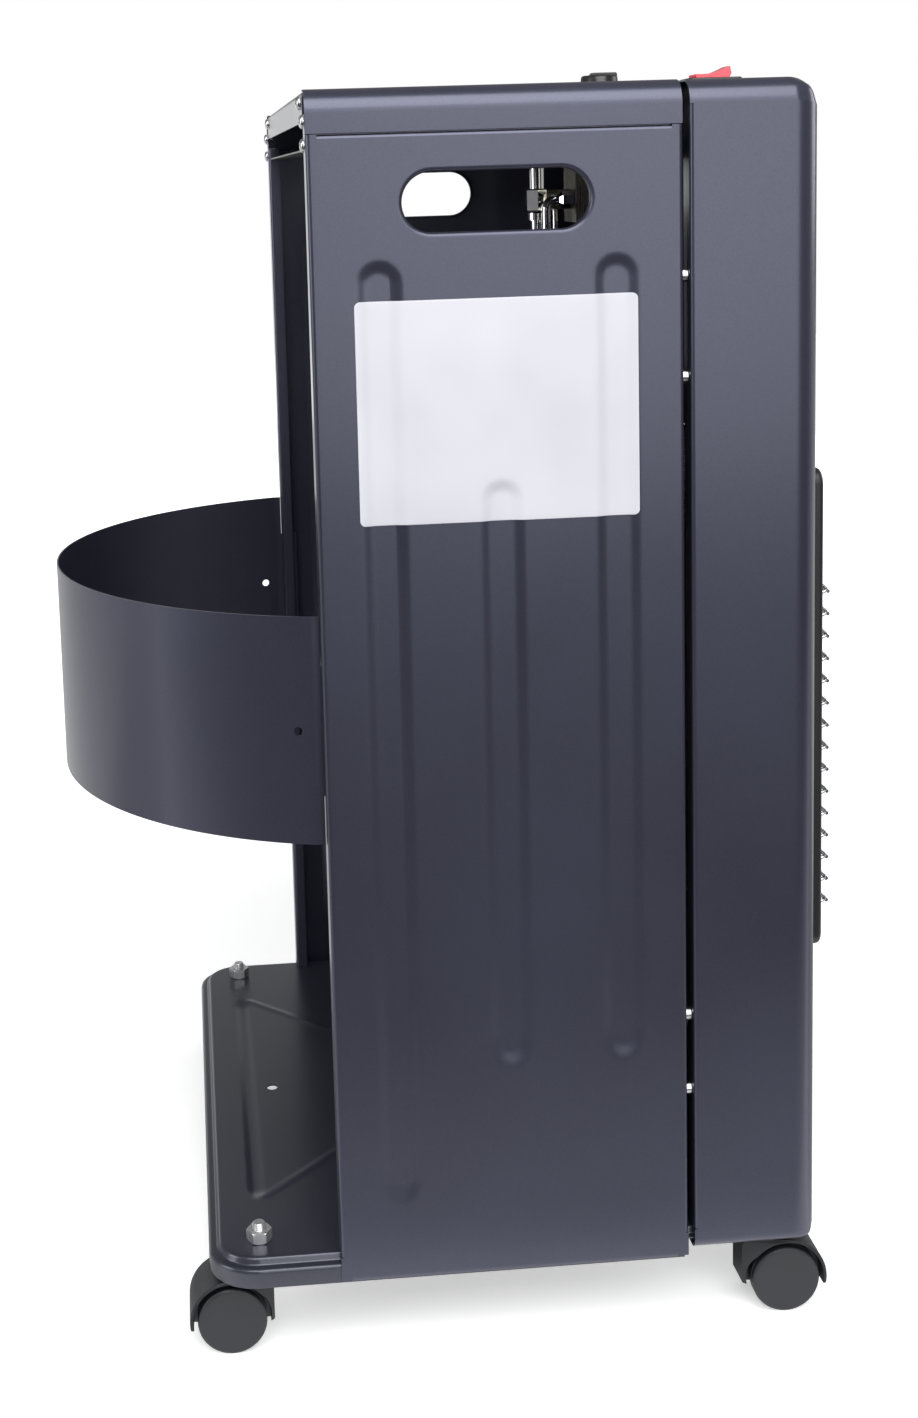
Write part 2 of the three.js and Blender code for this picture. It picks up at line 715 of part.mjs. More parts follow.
// ---- Heat shield, top baffle and cable gland ----
const shieldY = panelFrontY + shieldBackset;
const shieldBottomZ = trayTopZ + gap;
const glandZ = shieldBottomZ + glandRise;
const heatShield = () => {
  const reach = halfWidth - sheet - ribDepth - gap;
  const section = bentSheet([
    [shieldY - shieldFlange, shieldBottomZ + shieldHeight],
    [shieldY + sheet, shieldBottomZ + shieldHeight],
    [shieldY + sheet, shieldBottomZ],
    [shieldY - shieldFlange, shieldBottomZ],
  ].reverse());
  const holeY = [-4 * sheet, 4 * sheet];
  const hole = turnedY(rod(glandThreadRadius + gap, holeY), 12, [glandX, shieldY, glandZ]);
  return cut(alongX(section, [-reach, reach]), hole);
};

const cableGland = () => {
  const front = shieldY + sheet + gap;
  return turnedY(
    [
      [0, -glandLength / 2],
      [glandThreadRadius, -glandLength / 2],
      [glandThreadRadius, 0],
      [glandRadius, 0],
      [glandRadius, glandLength / 2],
      [glandThreadRadius, glandLength],
      [0, glandLength],
    ],
    12,
    [glandX, front, glandZ],
  );
};

const baffleTopZ = panelTopZ - baffleDrop;
const topBaffle = () => {
  const reach = halfWidth - rearFlange - gap;
  const rearY = panelRearY - sheet - gap;
  const frontY = panelFrontY + baffleSetback;
  const section = bentSheet([
    [rearY, baffleTopZ],
    [frontY, baffleTopZ],
    [frontY, baffleTopZ - shieldFlange],
  ]);
  return alongX(section, [-reach, reach]);
};

// ---- Guard ----
const bezelX = windowWidth / 2 + bezelBorder;
const bezelZ = [windowBottomZ - bezelBorder, windowTopZ + bezelBorder];
const openingX = bezelX - bezelLip;
const openingZ = [bezelZ[0] + bezelLip, bezelZ[1] - bezelLip];
const guardBezel = () => {
  const face = rectangle([-bezelX, bezelX], bezelZ, bezelCornerRadius);
  const outer = alongY(face, [bezelFrontY, bezelBackY]);
  const hollow = block(
    [-bezelX + bezelWall, bezelX - bezelWall],
    [bezelFrontY + bezelWall, bezelBackY + sheet],
    [bezelZ[0] + bezelWall, bezelZ[1] - bezelWall],
  );
  const opening = block([-openingX, openingX], [bezelFrontY - sheet, bezelBackY], openingZ);
  return cut(outer, hollow, opening);
};

const guardGrille = () => {
  const faceY = bezelFrontY + bezelWall + gap;
  const tipY = faceY - guardToothDepth;
  const topZ = bezelZ[1] - bezelWall - gap;
  const bottomZ = bezelZ[0] + bezelWall + gap;
  const toothedHeight = topZ - bottomZ - guardStraight - guardToothRise;
  const guardToothCount = Math.floor(toothedHeight / guardPitch);
  const apexZ = (tooth) => topZ - guardStraight - guardToothRise - tooth * guardPitch;
  const path = [[faceY, topZ]];
  for (let tooth = 0; tooth < guardToothCount; tooth += 1) {
    path.push([faceY, apexZ(tooth) + guardToothRise]);
    path.push([tipY, apexZ(tooth)]);
  }
  path.push([faceY, apexZ(guardToothCount) + guardToothRise]);
  path.push([faceY, bottomZ]);
  const wire = bentSheet(path, guardWire, 0);
  const reach = openingX - guardInset;
  let body;
  for (let upright = 0; upright < guardUprights; upright += 1) {
    const x = -reach + (2 * reach * upright) / (guardUprights - 1);
    const next = alongX(wire, [x - guardWire / 2, x + guardWire / 2]);
    body = body ? join(body, next) : next;
  }
  const rodRadius = guardWire / 2;
  const rail = (y, z) =>
    block(
      [-reach - rodRadius, reach + rodRadius],
      [y - rodRadius, y + rodRadius],
      [z - rodRadius, z + rodRadius],
    );
  for (let tooth = 0; tooth < guardToothCount; tooth += 1) {
    body = join(body, rail(tipY + guardWire, apexZ(tooth) + guardWire / 4));
  }
  const endRailY = faceY + rodRadius;
  return join(body, rail(endRailY, topZ - guardWire), rail(endRailY, bottomZ + guardWire));
};

// ---- Reflector, burner and quartz tubes ----
const reflectorX = windowWidth / 2 - reflectorInset;
const reflectorFrontY = casingFrontY + sheet + gap;
const reflectorBackY = reflectorFrontY + reflectorDepth;
const reflectorZ = [windowBottomZ + reflectorInset, windowTopZ - reflectorInset];
const burnerZ = windowBottomZ + burnerRise;
const burnerHeight = reflectorZ[1] - reflectorTopDrop - burnerTopMargin - burnerZ;
const burnerHalfWidth = reflectorX - burnerSideMargin;
const plaqueHeight = burnerHeight - 2 * burnerWall;
const plaqueWidth = (2 * (burnerHalfWidth - burnerWall) - 2 * plaqueRib) / 3;
const pilotX = reflectorX - sheet - gap - pilotSize / 2;
const pilotZ = burnerZ + pilotRise;
const electrodeZ = burnerZ + electrodeRise;

const reflector = () => {
  const section = bentSheet(
    [
      [reflectorFrontY, reflectorZ[1]],
      [reflectorBackY, reflectorZ[1] - reflectorTopDrop],
      [reflectorBackY, reflectorZ[0]],
      [reflectorFrontY, reflectorZ[0]],
    ].reverse(),
  );
  const cheek = outline([
    [reflectorFrontY, reflectorZ[0]],
    [reflectorBackY, reflectorZ[0]],
    [reflectorBackY, reflectorZ[1] - reflectorTopDrop],
    [reflectorFrontY, reflectorZ[1]],
  ]);
  const rim = cut(
    block(
      [-reflectorX - reflectorFlange, reflectorX + reflectorFlange],
      [reflectorFrontY, reflectorFrontY + sheet],
      [reflectorZ[0] - reflectorFlange, reflectorZ[1] + reflectorFlange],
    ),
    block(
      [-reflectorX + sheet / 2, reflectorX - sheet / 2],
      [reflectorFrontY - sheet, reflectorFrontY + 2 * sheet],
      [reflectorZ[0] + sheet / 2, reflectorZ[1] - sheet],
    ),
  );
  const body = join(
    alongX(section, [-reflectorX, reflectorX]),
    alongX(cheek, [-reflectorX, -reflectorX + sheet]),
    alongX(cheek, [reflectorX - sheet, reflectorX]),
    rim,
  );
  const burnerOpening = block(
    [-burnerHalfWidth + burnerWall - gap, burnerHalfWidth - burnerWall + gap],
    [reflectorBackY - 3 * sheet, reflectorBackY + sheet],
    [burnerZ + burnerWall - gap, burnerZ + burnerHeight - burnerWall + gap],
  );
  const hole = (radius, z) =>
    turnedY(rod(radius + gap, [-4 * sheet, 4 * sheet]), 12, [pilotX, reflectorBackY, z]);
  return cut(body, burnerOpening, hole(pilotPipeRadius, pilotZ), hole(electrodeRadius, electrodeZ));
};

const plaqueX = (index) => (index - 1) * (plaqueWidth + plaqueRib);
const plaqueBackY = reflectorBackY - sheet - plaqueProud + plaqueThickness;
const burnerFrontY = reflectorBackY + gap;
const burnerBody = () => {
  let body = block([-burnerHalfWidth, burnerHalfWidth], [burnerFrontY, burnerFrontY + burnerDepth], [
    burnerZ,
    burnerZ + burnerHeight,
  ]);
  [0, 1, 2].forEach((index) => {
    const seat = block(
      [plaqueX(index) - plaqueWidth / 2 - gap, plaqueX(index) + plaqueWidth / 2 + gap],
      [burnerFrontY - sheet, plaqueBackY + gap],
      [burnerZ + burnerWall - gap, burnerZ + burnerWall + plaqueHeight + gap],
    );
    body = cut(body, seat);
  });
  return body;
};
const plaque = (index) =>
  block(
    [plaqueX(index) - plaqueWidth / 2, plaqueX(index) + plaqueWidth / 2],
    [plaqueBackY - plaqueThickness, plaqueBackY],
    [burnerZ + burnerWall, burnerZ + burnerWall + plaqueHeight],
  );

const holderInnerX = reflectorX - sheet - gap - holderWidth;
const tubesY = bezelBackY + tubeSetback;
const tubesZ = [reflectorZ[0] + tubeRise, reflectorZ[0] + tubeRise + tubeSpacing];
const quartzTube = (z) =>
  turnedX(rod(tubeRadius, [-holderInnerX - tubeEngagement, holderInnerX + tubeEngagement]), 12, [
    0,
    tubesY,
    z,
  ]);
const tubeHolder = (side) => {
  const holderOuterX = holderInnerX + holderWidth;
  const x = side < 0 ? [-holderOuterX, -holderInnerX] : [holderInnerX, holderOuterX];
  const middle = (tubesZ[0] + tubesZ[1]) / 2;
  const body = block(x, [tubesY - holderDepth / 2, tubesY + holderDepth / 2], [
    middle - holderHeight / 2,
    middle + holderHeight / 2,
  ]);
  const reach = holderInnerX + tubeEngagement + gap;
  const sockets = tubesZ.map((z) => turnedX(rod(tubeRadius + gap, [-reach, reach]), 12, [0, tubesY, z]));
  return cut(body, ...sockets);
};

// ---- Gas valve, knob and pipes ----
const valveNeckTopZ = deckZ - sheet - gap;
const valveTopZ = valveNeckTopZ - valveNeckHeight;
const valveBottomZ = valveTopZ - valveHeight;
const valveRearY = controlsY + valveDepth / 2;
const outletZ = valveBottomZ + outletRise;
const armEndY = valveRearY + valveArmLength;
const knobBottomZ = deckZ + knobTravel + knobLift;
const spindleTopZ = knobBottomZ + knobHeight - pointerHeight - knobTravel - 2 * knobLift;

const gasValve = () => {
  const halfX = valveWidth / 2;
  const body = join(
    block([knobX - halfX, knobX + halfX], [controlsY - valveDepth / 2, valveRearY], [
      valveBottomZ,
      valveTopZ,
    ]),
    turnedZ(rod(valveNeckRadius, [valveTopZ - sheet, valveNeckTopZ]), 16, [knobX, controlsY, 0]),
    turnedY(rod(valveArmRadius, [-sheet, valveArmLength]), 12, [knobX, valveRearY, outletZ]),
  );
  const bore = turnedZ(rod(spindleRadius + gap, [valveNeckTopZ - spindleInValve - gap, deckZ]), 16, [
    knobX,
    controlsY,
    0,
  ]);
  return cut(body, bore);
};

const valveSpindle = () =>
  turnedZ(rod(spindleRadius, [valveNeckTopZ - spindleInValve, spindleTopZ]), 16, [knobX, controlsY, 0]);

const controlKnob = () => {
  const crownZ = knobBottomZ + knobHeight - pointerHeight;
  const body = turnedZ(
    [
      [0, knobBottomZ],
      [knobRadius, knobBottomZ],
      [knobRadius, knobBottomZ + knobBaseHeight - sheet],
      [knobRadius - sheet, knobBottomZ + knobBaseHeight],
      [knobCrownRadius + sheet, knobBottomZ + knobBaseHeight + sheet],
      [knobCrownRadius, crownZ - sheet],
      [knobCrownRadius - sheet, crownZ],
      [0, crownZ],
    ],
    20,
    [knobX, controlsY, 0],
  );
  const pointer = block(
    [knobX - pointerWidth / 2, knobX + pointerWidth / 2],
    [controlsY - knobCrownRadius + sheet, controlsY + knobCrownRadius / 2],
    [crownZ - sheet, crownZ + pointerHeight],
  );
  const bore = turnedZ(rod(spindleRadius + gap, [knobBottomZ - sheet, spindleTopZ + knobTravel + gap]), 16, [
    knobX,
    controlsY,
    0,
  ]);
  return cut(join(body, pointer), bore);
};

const inletPipe = () => {
  const y = armEndY + gap + teeHalf;
  const place = [knobX, y, outletZ];
  const barb = (z) => [
    [inletRadius, z],
    [inletRadius + sheet, z + 2 * sheet],
    [inletRadius, z + 3 * sheet],
  ];
  const inletRise = baffleTopZ - sheet - gap - outletZ;
  const nozzle = [[0, -nozzleLength], [inletRadius - sheet, -nozzleLength]];
  [0, 1, 2].forEach((ring) => nozzle.push(...barb(-nozzleLength + 2 * sheet + 4 * sheet * ring)));
  return join(
    turnedZ([...nozzle, [inletRadius, inletRise], [0, inletRise]], 12, place),
    turnedZ(rod(teeHalf, [-teeHalf, teeHalf]), 6, place),
  );
};

const burnerPipeX = knobX - outletSpacing / 2;
const burnerPipe = () => {
  const y = valveRearY + burnerPipeBackset;
  const burnerMidY = burnerFrontY + burnerDepth / 2;
  const landingZ = burnerZ + burnerHeight + gap;
  const bendZ = landingZ + burnerPipeRise;
  return pipe(
    [
      [burnerPipeX, valveRearY + gap, outletZ],
      [burnerPipeX, y, outletZ],
      [burnerPipeX, y, bendZ],
      [burnerPipeX, burnerMidY, bendZ],
      [burnerPipeX, burnerMidY, landingZ],
    ],
    pipeRadius,
    pipeBend,
  );
};

const pilotPipeX = knobX + outletSpacing / 2;
const pilotPipe = () => {
  const y = valveRearY + pilotPipeBackset;
  const crossZ = burnerZ + burnerHeight + pilotPipeRise;
  return pipe(
    [
      [pilotPipeX, valveRearY + gap, outletZ],
      [pilotPipeX, y, outletZ],
      [pilotPipeX, y, crossZ],
      [pilotX, y, crossZ],
      [pilotX, y, pilotZ],
      [pilotX, pilotBackY + gap, pilotZ],
    ],
    pilotPipeRadius,
    pipeBend,
    5,
    30,
  );
};
const pilotBackY = reflectorBackY - sheet - pilotStandOff;
const pilotBurner = () => {
  const half = pilotSize / 2;
  const body = block([pilotX - half, pilotX + half], [pilotBackY - pilotSize, pilotBackY], [
    pilotZ - half,
    pilotZ + half,
  ]);
  const mouth = block(
    [pilotX - half - sheet, pilotX + half - 4 * sheet],
    [pilotBackY - pilotSize + 3 * sheet, pilotBackY - 3 * sheet],
    [pilotZ - half + 3 * sheet, pilotZ + half - 3 * sheet],
  );
  return cut(body, mouth);
};
const sparkElectrode = () => {
  const half = electrodeLength / 2;
  return turnedY(
    [
      [0, -half - electrodeTipLength],
      [electrodeTipRadius, -half - electrodeTipLength],
      [electrodeTipRadius, -half],
      [electrodeRadius, -half],
      [electrodeRadius, half],
      [0, half],
    ],
    12,
    [pilotX, reflectorBackY, electrodeZ],
  );
};

// ---- Rocker switch ----
const pivotZ = deckZ + gap + switchBezelHeight;
const switchHousing = () => {
  const box = (length, width, z) =>
    block([switchX - width / 2, switchX + width / 2], [controlsY - length / 2, controlsY + length / 2], z);
  const body = join(
    box(switchBezelLength, switchBezelWidth, [deckZ + gap, deckZ + gap + switchBezelHeight]),
    box(switchBodyLength, switchBodyWidth, [deckZ - switchBodyDepth, deckZ + gap + sheet]),
  );
  const hollow = box(switchBodyLength - 2 * switchWall, switchBodyWidth - 2 * switchWall, [
    deckZ - switchBodyDepth + 2 * switchWall,
    deckZ + switchBezelHeight + sheet,
  ]);
  return cut(body, hollow);
};

const switchRocker = () => {
  const foot = rockerHeight + rockerValley;
  const section = outline([
    [-rockerHalfLength, rockerHeight],
    [-rockerHalfLength, 0],
    [-rockerHalfLength / 3, -foot],
    [rockerHalfLength / 3, -foot],
    [rockerHalfLength, 0],
    [rockerHalfLength, rockerHeight],
    [0, rockerValley],
  ]);
  const half = switchBodyWidth / 2 - switchWall - gap;
  return alongX(section, [-half, half]);
};

// ---- Screws ----
const panHeadScrew = () =>
  turnedY(
    [
      [0, -screwLength],
      [screwRadius, -screwLength],
      [screwRadius, gap],
      [screwHeadRadius, gap],
      [screwHeadRadius, gap + screwHeadHeight / 2],
      [screwRadius, gap + screwHeadHeight],
      [0, gap + screwHeadHeight],
    ],
    8,
    [0, 0, 0],
  );

// ---- Casters ----
// A caster is modelled round its stem, at x = y = 0, with the axle towards +y and z = 0 on the floor.
const stemX = halfWidth - stemSideInset;
const stems = [
  { name: "rear_left", x: -stemX, y: trayRearY - rearStemInset, outer: -1, turn: 0 },
  { name: "rear_right", x: stemX, y: trayRearY - rearStemInset, outer: 1, turn: Math.PI },
  { name: "front_left", x: -stemX, y: trayFrontY + frontStemInset, outer: -1, turn: Math.PI },
  { name: "front_right", x: stemX, y: trayFrontY + frontStemInset, outer: 1, turn: Math.PI },
];
const wheelInnerX = webWidth / 2 + wheelSideGap;
const wheelOuterX = wheelInnerX + wheelWidth;
const axleEndX = wheelOuterX - axleCover;

const casterHood = () => {
  const halfX = wheelOuterX - hoodEdgeInset;
  const steps = 10;
  const below = Math.asin(hoodSkirt / hoodRadius);
  const arc = (radius, from, to) =>
    Array.from({ length: steps + 1 }, (_, i) => {
      const angle = from + ((to - from) * i) / steps;
      return [stemTrail + radius * Math.cos(angle), wheelRadius + radius * Math.sin(angle)];
    });
  const fender = outline([
    ...arc(hoodRadius, -below, Math.PI + below),
    ...arc(hoodInnerRadius, Math.PI + below, -below),
  ]);
  const web = outline([
    ...arc(hoodInnerRadius + hoodWall / 2, -below, Math.PI + below),
    [stemTrail, wheelRadius - hoodSkirt - axleRadius],
  ]);
  const bossRadius = stemRadius + gap + bossWall;
  const bossBottomZ = wheelRadius + axleRadius;
  const frontY = stemTrail - hoodRadius;
  const body = join(
    alongX(fender, [-halfX, halfX]),
    alongX(web, [-webWidth / 2, webWidth / 2]),
    turnedZ(rod(bossRadius, [bossBottomZ, hoodTopZ]), 10, [0, 0, 0]),
    block([-webWidth / 2, webWidth / 2], [frontY, stemTrail], [bossBottomZ, hoodTopZ]),
  );
  const axleBore = turnedX(rod(axleRadius + gap, [-webWidth, webWidth]), 12, [0, stemTrail, wheelRadius]);
  const boreZ = [bossBottomZ + 2 * sheet, hoodTopZ + sheet];
  const stemBore = turnedZ(rod(stemRadius + gap, boreZ), 10, [0, 0, 0]);
  return cut(body, axleBore, stemBore);
};

const casterWheel = (side) => {
  const profile = [
    [0, wheelOuterX],
    [wheelRadius - wheelRound, wheelOuterX],
    [wheelRadius, wheelOuterX - wheelRound],
    [wheelRadius, wheelInnerX + wheelRound],
    [wheelRadius - wheelRound, wheelInnerX],
    [axleRadius + gap, wheelInnerX],
    [axleRadius + gap, axleEndX + gap],
    [0, axleEndX + gap],
  ];
  const signed = profile.map(([r, x]) => [r, side * x]);
  return turnedX(side > 0 ? signed.reverse() : signed, 20, [0, stemTrail, wheelRadius]);
};

const casterStem = () =>
  turnedZ(
    [
      [0, wheelRadius + axleRadius + 3 * sheet],
      [stemRadius, wheelRadius + axleRadius + 3 * sheet],
      [stemRadius, hoodTopZ + gap],
      [collarRadius, hoodTopZ + gap],
      [collarRadius, trayTopZ - sheet - gap],
      [threadRadius, trayTopZ - sheet - gap],
      [threadRadius, trayTopZ + gap + nutHeight + threadAboveNut],
      [0, trayTopZ + gap + nutHeight + threadAboveNut],
    ],
    10,
    [0, 0, 0],
  );

const casterNut = () => {
  const corner = nutAcrossFlats / Math.sqrt(3);
  const body = turnedZ(rod(corner, [trayTopZ + gap, trayTopZ + gap + nutHeight]), 6, [0, 0, 0]);
  const bore = turnedZ(rod(threadRadius + gap, [trayTopZ, trayTopZ + 2 * nutHeight]), 10, [0, 0, 0]);
  return cut(body, bore);
};

stems.forEach(({ name, x, y, outer, turn }) => {
  const caster = new THREE.Group();
  caster.position.set(x, y, 0);
  caster.rotation.z = turn;
  cabinet.add(caster);
  const outward = turn === 0 ? outer : -outer;
  piece(`${name}_caster_hood`, casterHood(), casterPlastic, caster);
  const axle = turnedX(rod(axleRadius, [-axleEndX, axleEndX]), 12, [0, stemTrail, wheelRadius]);
  piece(`${name}_caster_axle`, axle, zincPlate, caster);
  piece(`${name}_outer_wheel`, casterWheel(outward), casterPlastic, caster);
  piece(`${name}_inner_wheel`, casterWheel(-outward), casterPlastic, caster);
  piece(`${name}_caster_stem`, casterStem(), zincPlate, caster);
  piece(`${name}_caster_nut`, casterNut(), zincPlate, caster);
});

// ---- Assembly ----
piece("left_side_panel", sidePanel(), graphiteEnamel);
piece("right_side_panel", sidePanel(), graphiteEnamel).scale.x = -1;
piece("top_cover", topCover(), graphiteEnamel);
piece("front_casing", frontCasing(), graphiteEnamel);
piece("base_tray", baseTray(), graphiteEnamel);
piece("bottle_band", bottleBand(), graphiteEnamel);
piece("heat_shield", heatShield(), galvanised);
piece("top_baffle", topBaffle(), blackEnamel);
piece("cable_gland", cableGland(), blackPlastic);
piece("guard_bezel", guardBezel(), blackEnamel);
piece("guard_grille", guardGrille(), chrome);
piece("reflector", reflector(), chrome);
piece("burner_body", burnerBody(), castAlloy);
["left", "middle", "right"].forEach((where, index) => {
  piece(`${where}_burner_plaque`, plaque(index), ceramic);
});
piece("lower_quartz_tube", quartzTube(tubesZ[0]), quartz);
piece("upper_quartz_tube", quartzTube(tubesZ[1]), quartz);
piece("left_tube_holder", tubeHolder(-1), ceramic);
piece("right_tube_holder", tubeHolder(1), ceramic);
piece("gas_valve", gasValve(), brass);
piece("valve_spindle", valveSpindle(), zincPlate);
piece("control_knob", controlKnob(), blackPlastic);
piece("inlet_pipe", inletPipe(), chrome);
piece("burner_pipe", burnerPipe(), chrome);
piece("pilot_pipe", pilotPipe(), chrome);
piece("pilot_burner", pilotBurner(), zincPlate);
piece("spark_electrode", sparkElectrode(), ceramic);
piece("switch_housing", switchHousing(), blackPlastic);
const rocker = piece("switch_rocker", switchRocker(), redPlastic);
rocker.position.set(switchX, controlsY, pivotZ);
rocker.rotation.x = THREE.MathUtils.degToRad(-rockerTilt);

[-1, 1].forEach((side) => {
  const hand = side < 0 ? "left" : "right";
  const places = {
    cover_screw: [halfWidth - flangeScrewInset, coverScrewZ],
    upper_corner_screw: [halfWidth - cornerScrewInset, panelTopZ + upperCornerScrewRise],
    lower_corner_screw: [halfWidth - cornerScrewInset, panelTopZ - lowerCornerScrewDrop],
  };
  Object.entries(places).forEach(([name, [x, z]]) => {
    piece(`${hand}_${name}`, panHeadScrew(), zincPlate).position.set(side * x, panelRearY, z);
  });
});

// The origin goes under the middle of the object, from the guard's front to the band's rear.
const guardFrontY = bezelFrontY + bezelWall + gap - guardToothDepth;
cabinet.position.y = -(guardFrontY + bandRearY) / 2;
const group = new THREE.Group();
group.add(cabinet);

export default group;
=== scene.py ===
# Portable gas cabinet heater: its looks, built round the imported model.
# Pieces are drawn in millimetres in the model's frame and brought to metres when they are made.
import math

import bmesh
import bpy
from mathutils import Matrix, Vector


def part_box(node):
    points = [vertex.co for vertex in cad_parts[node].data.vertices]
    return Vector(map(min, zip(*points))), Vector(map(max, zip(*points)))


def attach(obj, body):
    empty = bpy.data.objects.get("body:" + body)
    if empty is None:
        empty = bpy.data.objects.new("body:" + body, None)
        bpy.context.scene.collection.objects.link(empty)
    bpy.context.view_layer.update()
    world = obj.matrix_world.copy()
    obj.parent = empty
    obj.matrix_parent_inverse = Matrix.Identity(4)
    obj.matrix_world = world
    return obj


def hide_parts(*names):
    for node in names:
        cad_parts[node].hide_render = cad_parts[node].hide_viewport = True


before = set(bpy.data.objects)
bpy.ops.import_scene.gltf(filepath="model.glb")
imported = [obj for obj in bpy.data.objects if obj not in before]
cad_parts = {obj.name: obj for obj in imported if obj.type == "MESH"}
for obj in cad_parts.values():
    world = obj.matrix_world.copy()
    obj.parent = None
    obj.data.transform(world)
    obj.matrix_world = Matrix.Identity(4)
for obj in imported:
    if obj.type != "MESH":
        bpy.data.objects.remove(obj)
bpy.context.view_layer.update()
scene = bpy.context.scene

# ---- Camera, floor and studio light ----
# The camera stands off the heater's left side, a little towards the open rear and just below the cover.
# Pale room with large soft lights at the side, above, behind and in front, and a low lit card beyond.


def put(name, data):
    """Sets data in the scene as an object."""
    holder = bpy.data.objects.new(name, data)
    scene.collection.objects.link(holder)
    return holder


camera = put("camera", bpy.data.cameras.new("camera"))
camera.data.sensor_width = 36.0
camera.data.lens = 47.55
camera.data.shift_x = 0.0910
camera.data.shift_y = -0.1904
camera.data.clip_end = 30.0
camera.location = (-1.199, 0.1373, 0.6692)
camera.rotation_euler = [math.radians(turn) for turn in (82.084, 1.777, -94.590)]
scene.camera = camera
scene.view_settings.view_transform = "Standard"


def node(tree, kind, inputs=None, **settings):
    """Adds a shader or geometry node. An input is given by name or number, as a value or another socket."""
    made = tree.nodes.new(kind)
    for name, value in settings.items():
        setattr(made, name, value)
    for name, value in (inputs or {}).items():
        if isinstance(value, bpy.types.NodeSocket):
            tree.links.new(value, made.inputs[name])
        else:
            made.inputs[name].default_value = value
    return made


def ramped(tree, value, start, end, low, high):
    """A number that runs from low to high while value runs from start to end."""
    span = {"Value": value, "From Min": start, "From Max": end, "To Min": low, "To Max": high}
    return node(tree, "ShaderNodeMapRange", span).outputs["Result"]


def finish(name, colour, roughness, metallic=0.0, **sockets):
    """A material with a Principled surface; plain numbers go straight on its sockets."""
    material = bpy.data.materials.new(name)
    material.use_nodes = True
    surface = material.node_tree.nodes["Principled BSDF"]
    surface.inputs["Base Color"].default_value = (*colour, 1.0)
    surface.inputs["Roughness"].default_value = roughness
    surface.inputs["Metallic"].default_value = metallic
    for socket, value in sockets.items():
        surface.inputs[socket.replace("_", " ")].default_value = value
    return material, surface


def softbox(name, place, aim, size, power):
    lamp = put(name, bpy.data.lights.new(name, "AREA"))
    lamp.data.shape = "RECTANGLE"
    lamp.data.size, lamp.data.size_y = size
    lamp.data.energy = power
    lamp.location = place
    lamp.rotation_euler = (Vector(aim) - Vector(place)).to_track_quat("-Z", "Y").to_euler()
    lamp.visible_camera = False


softbox("side_softbox", (-2.9, -0.8, 0.95), (0.0, -0.2, 0.7), (2.2, 1.8), 30)
softbox("upper_softbox", (-1.6, -0.1, 2.25), (-0.2, 0.0, 0.7), (2.2, 1.9), 68)
softbox("rear_softbox", (-0.7, 2.6, 1.2), (0.0, 0.2, 0.5), (1.2, 1.8), 30)
softbox("front_softbox", (0.7, -2.9, 1.3), (0.0, 0.0, 0.4), (1.4, 1.6), 22)
softbox("far_card", (3.2, 0.5, 0.55), (0.0, 0.2, 0.55), (4.2, 0.9), 12)

room = bpy.data.worlds.new("room")
room.use_nodes = True
backdrop = room.node_tree.nodes["Background"].inputs
seen = node(room.node_tree, "ShaderNodeLightPath").outputs["Is Camera Ray"]
room.node_tree.links.new(ramped(room.node_tree, seen, 0.0, 1.0, 0.24, 1.0), backdrop["Strength"])
backdrop["Color"].default_value = (1.0, 1.0, 1.0, 1.0)
scene.world = room

# The floor is pale to the eye. What the heater mirrors of it is dark on the camera's side, like a black flag
# laid on a studio floor, with a lit strip close to the heater and a lit field behind it.
floor_mesh = bpy.data.meshes.new("studio_floor")
floor_mesh.from_pydata([(-6, -6, 0), (6, -6, 0), (6, 6, 0), (-6, 6, 0)], [], [(0, 1, 2, 3)])
floor = put("studio_floor", floor_mesh)
pale, surface = finish("pale_floor", (0.9, 0.9, 0.9), 0.8, Emission_Color=(1.0, 1.0, 1.0, 1.0))
tree = pale.node_tree
place = node(tree, "ShaderNodeTexCoord").outputs["Object"]
away = node(tree, "ShaderNodeVectorMath", {0: place}, operation="LENGTH").outputs["Value"]
across = node(tree, "ShaderNodeSeparateXYZ", {0: place}).outputs["X"]
seen = node(tree, "ShaderNodeLightPath").outputs["Is Camera Ray"]
flagged = ramped(tree, across, -0.66, -0.42, 0.03, 0.5)
tone = node(tree, "ShaderNodeMix", {0: seen, 2: flagged, 3: 0.9}, data_type="FLOAT")
tree.links.new(tone.outputs[0], surface.inputs["Base Color"])
strips = node(tree, "ShaderNodeValToRGB", {"Fac": ramped(tree, across, -1.0, 1.0, 0.0, 1.0)})
for x, grey in ((-0.33, 0.0), (-0.28, 0.85), (-0.21, 0.85), (-0.14, 0.0), (0.22, 0.0), (0.36, 0.45)):
    strips.color_ramp.elements.new((x + 1) / 2).color = (grey, grey, grey, 1.0)
strips.color_ramp.elements[0].color = (0.0, 0.0, 0.0, 1.0)
strips.color_ramp.elements[-1].color = (0.45, 0.45, 0.45, 1.0)
fade = ramped(tree, away, 0.5, 1.6, 0.46, 1.0)
lift = node(tree, "ShaderNodeMix", {0: seen, 2: strips.outputs["Color"], 3: fade}, data_type="FLOAT")
tree.links.new(lift.outputs[0], surface.inputs["Emission Strength"])
floor_mesh.materials.append(pale)

# ---- Powder coat on the pressed steel ----
# Panels, cover, casing, tray and band have one baked coat: graphite with a little metal flake, satin, with
# the fine orange peel of sprayed powder. The tray's copy of it is drawn darker and glossier; the darkness is
# painted shade for its place inside the cabinet. The bezel and the baffle have the same coat in black.


def effect(name, *sizes):
    """A shader node group with an input for each size. Gives it, its inputs and the place on the piece."""
    group = bpy.data.node_groups.new(name, "ShaderNodeTree")
    for size in sizes:
        group.interface.new_socket(size, in_out="INPUT", socket_type="NodeSocketFloat")
    where = node(group, "ShaderNodeTexCoord").outputs["Object"]
    return group, node(group, "NodeGroupInput").outputs, where


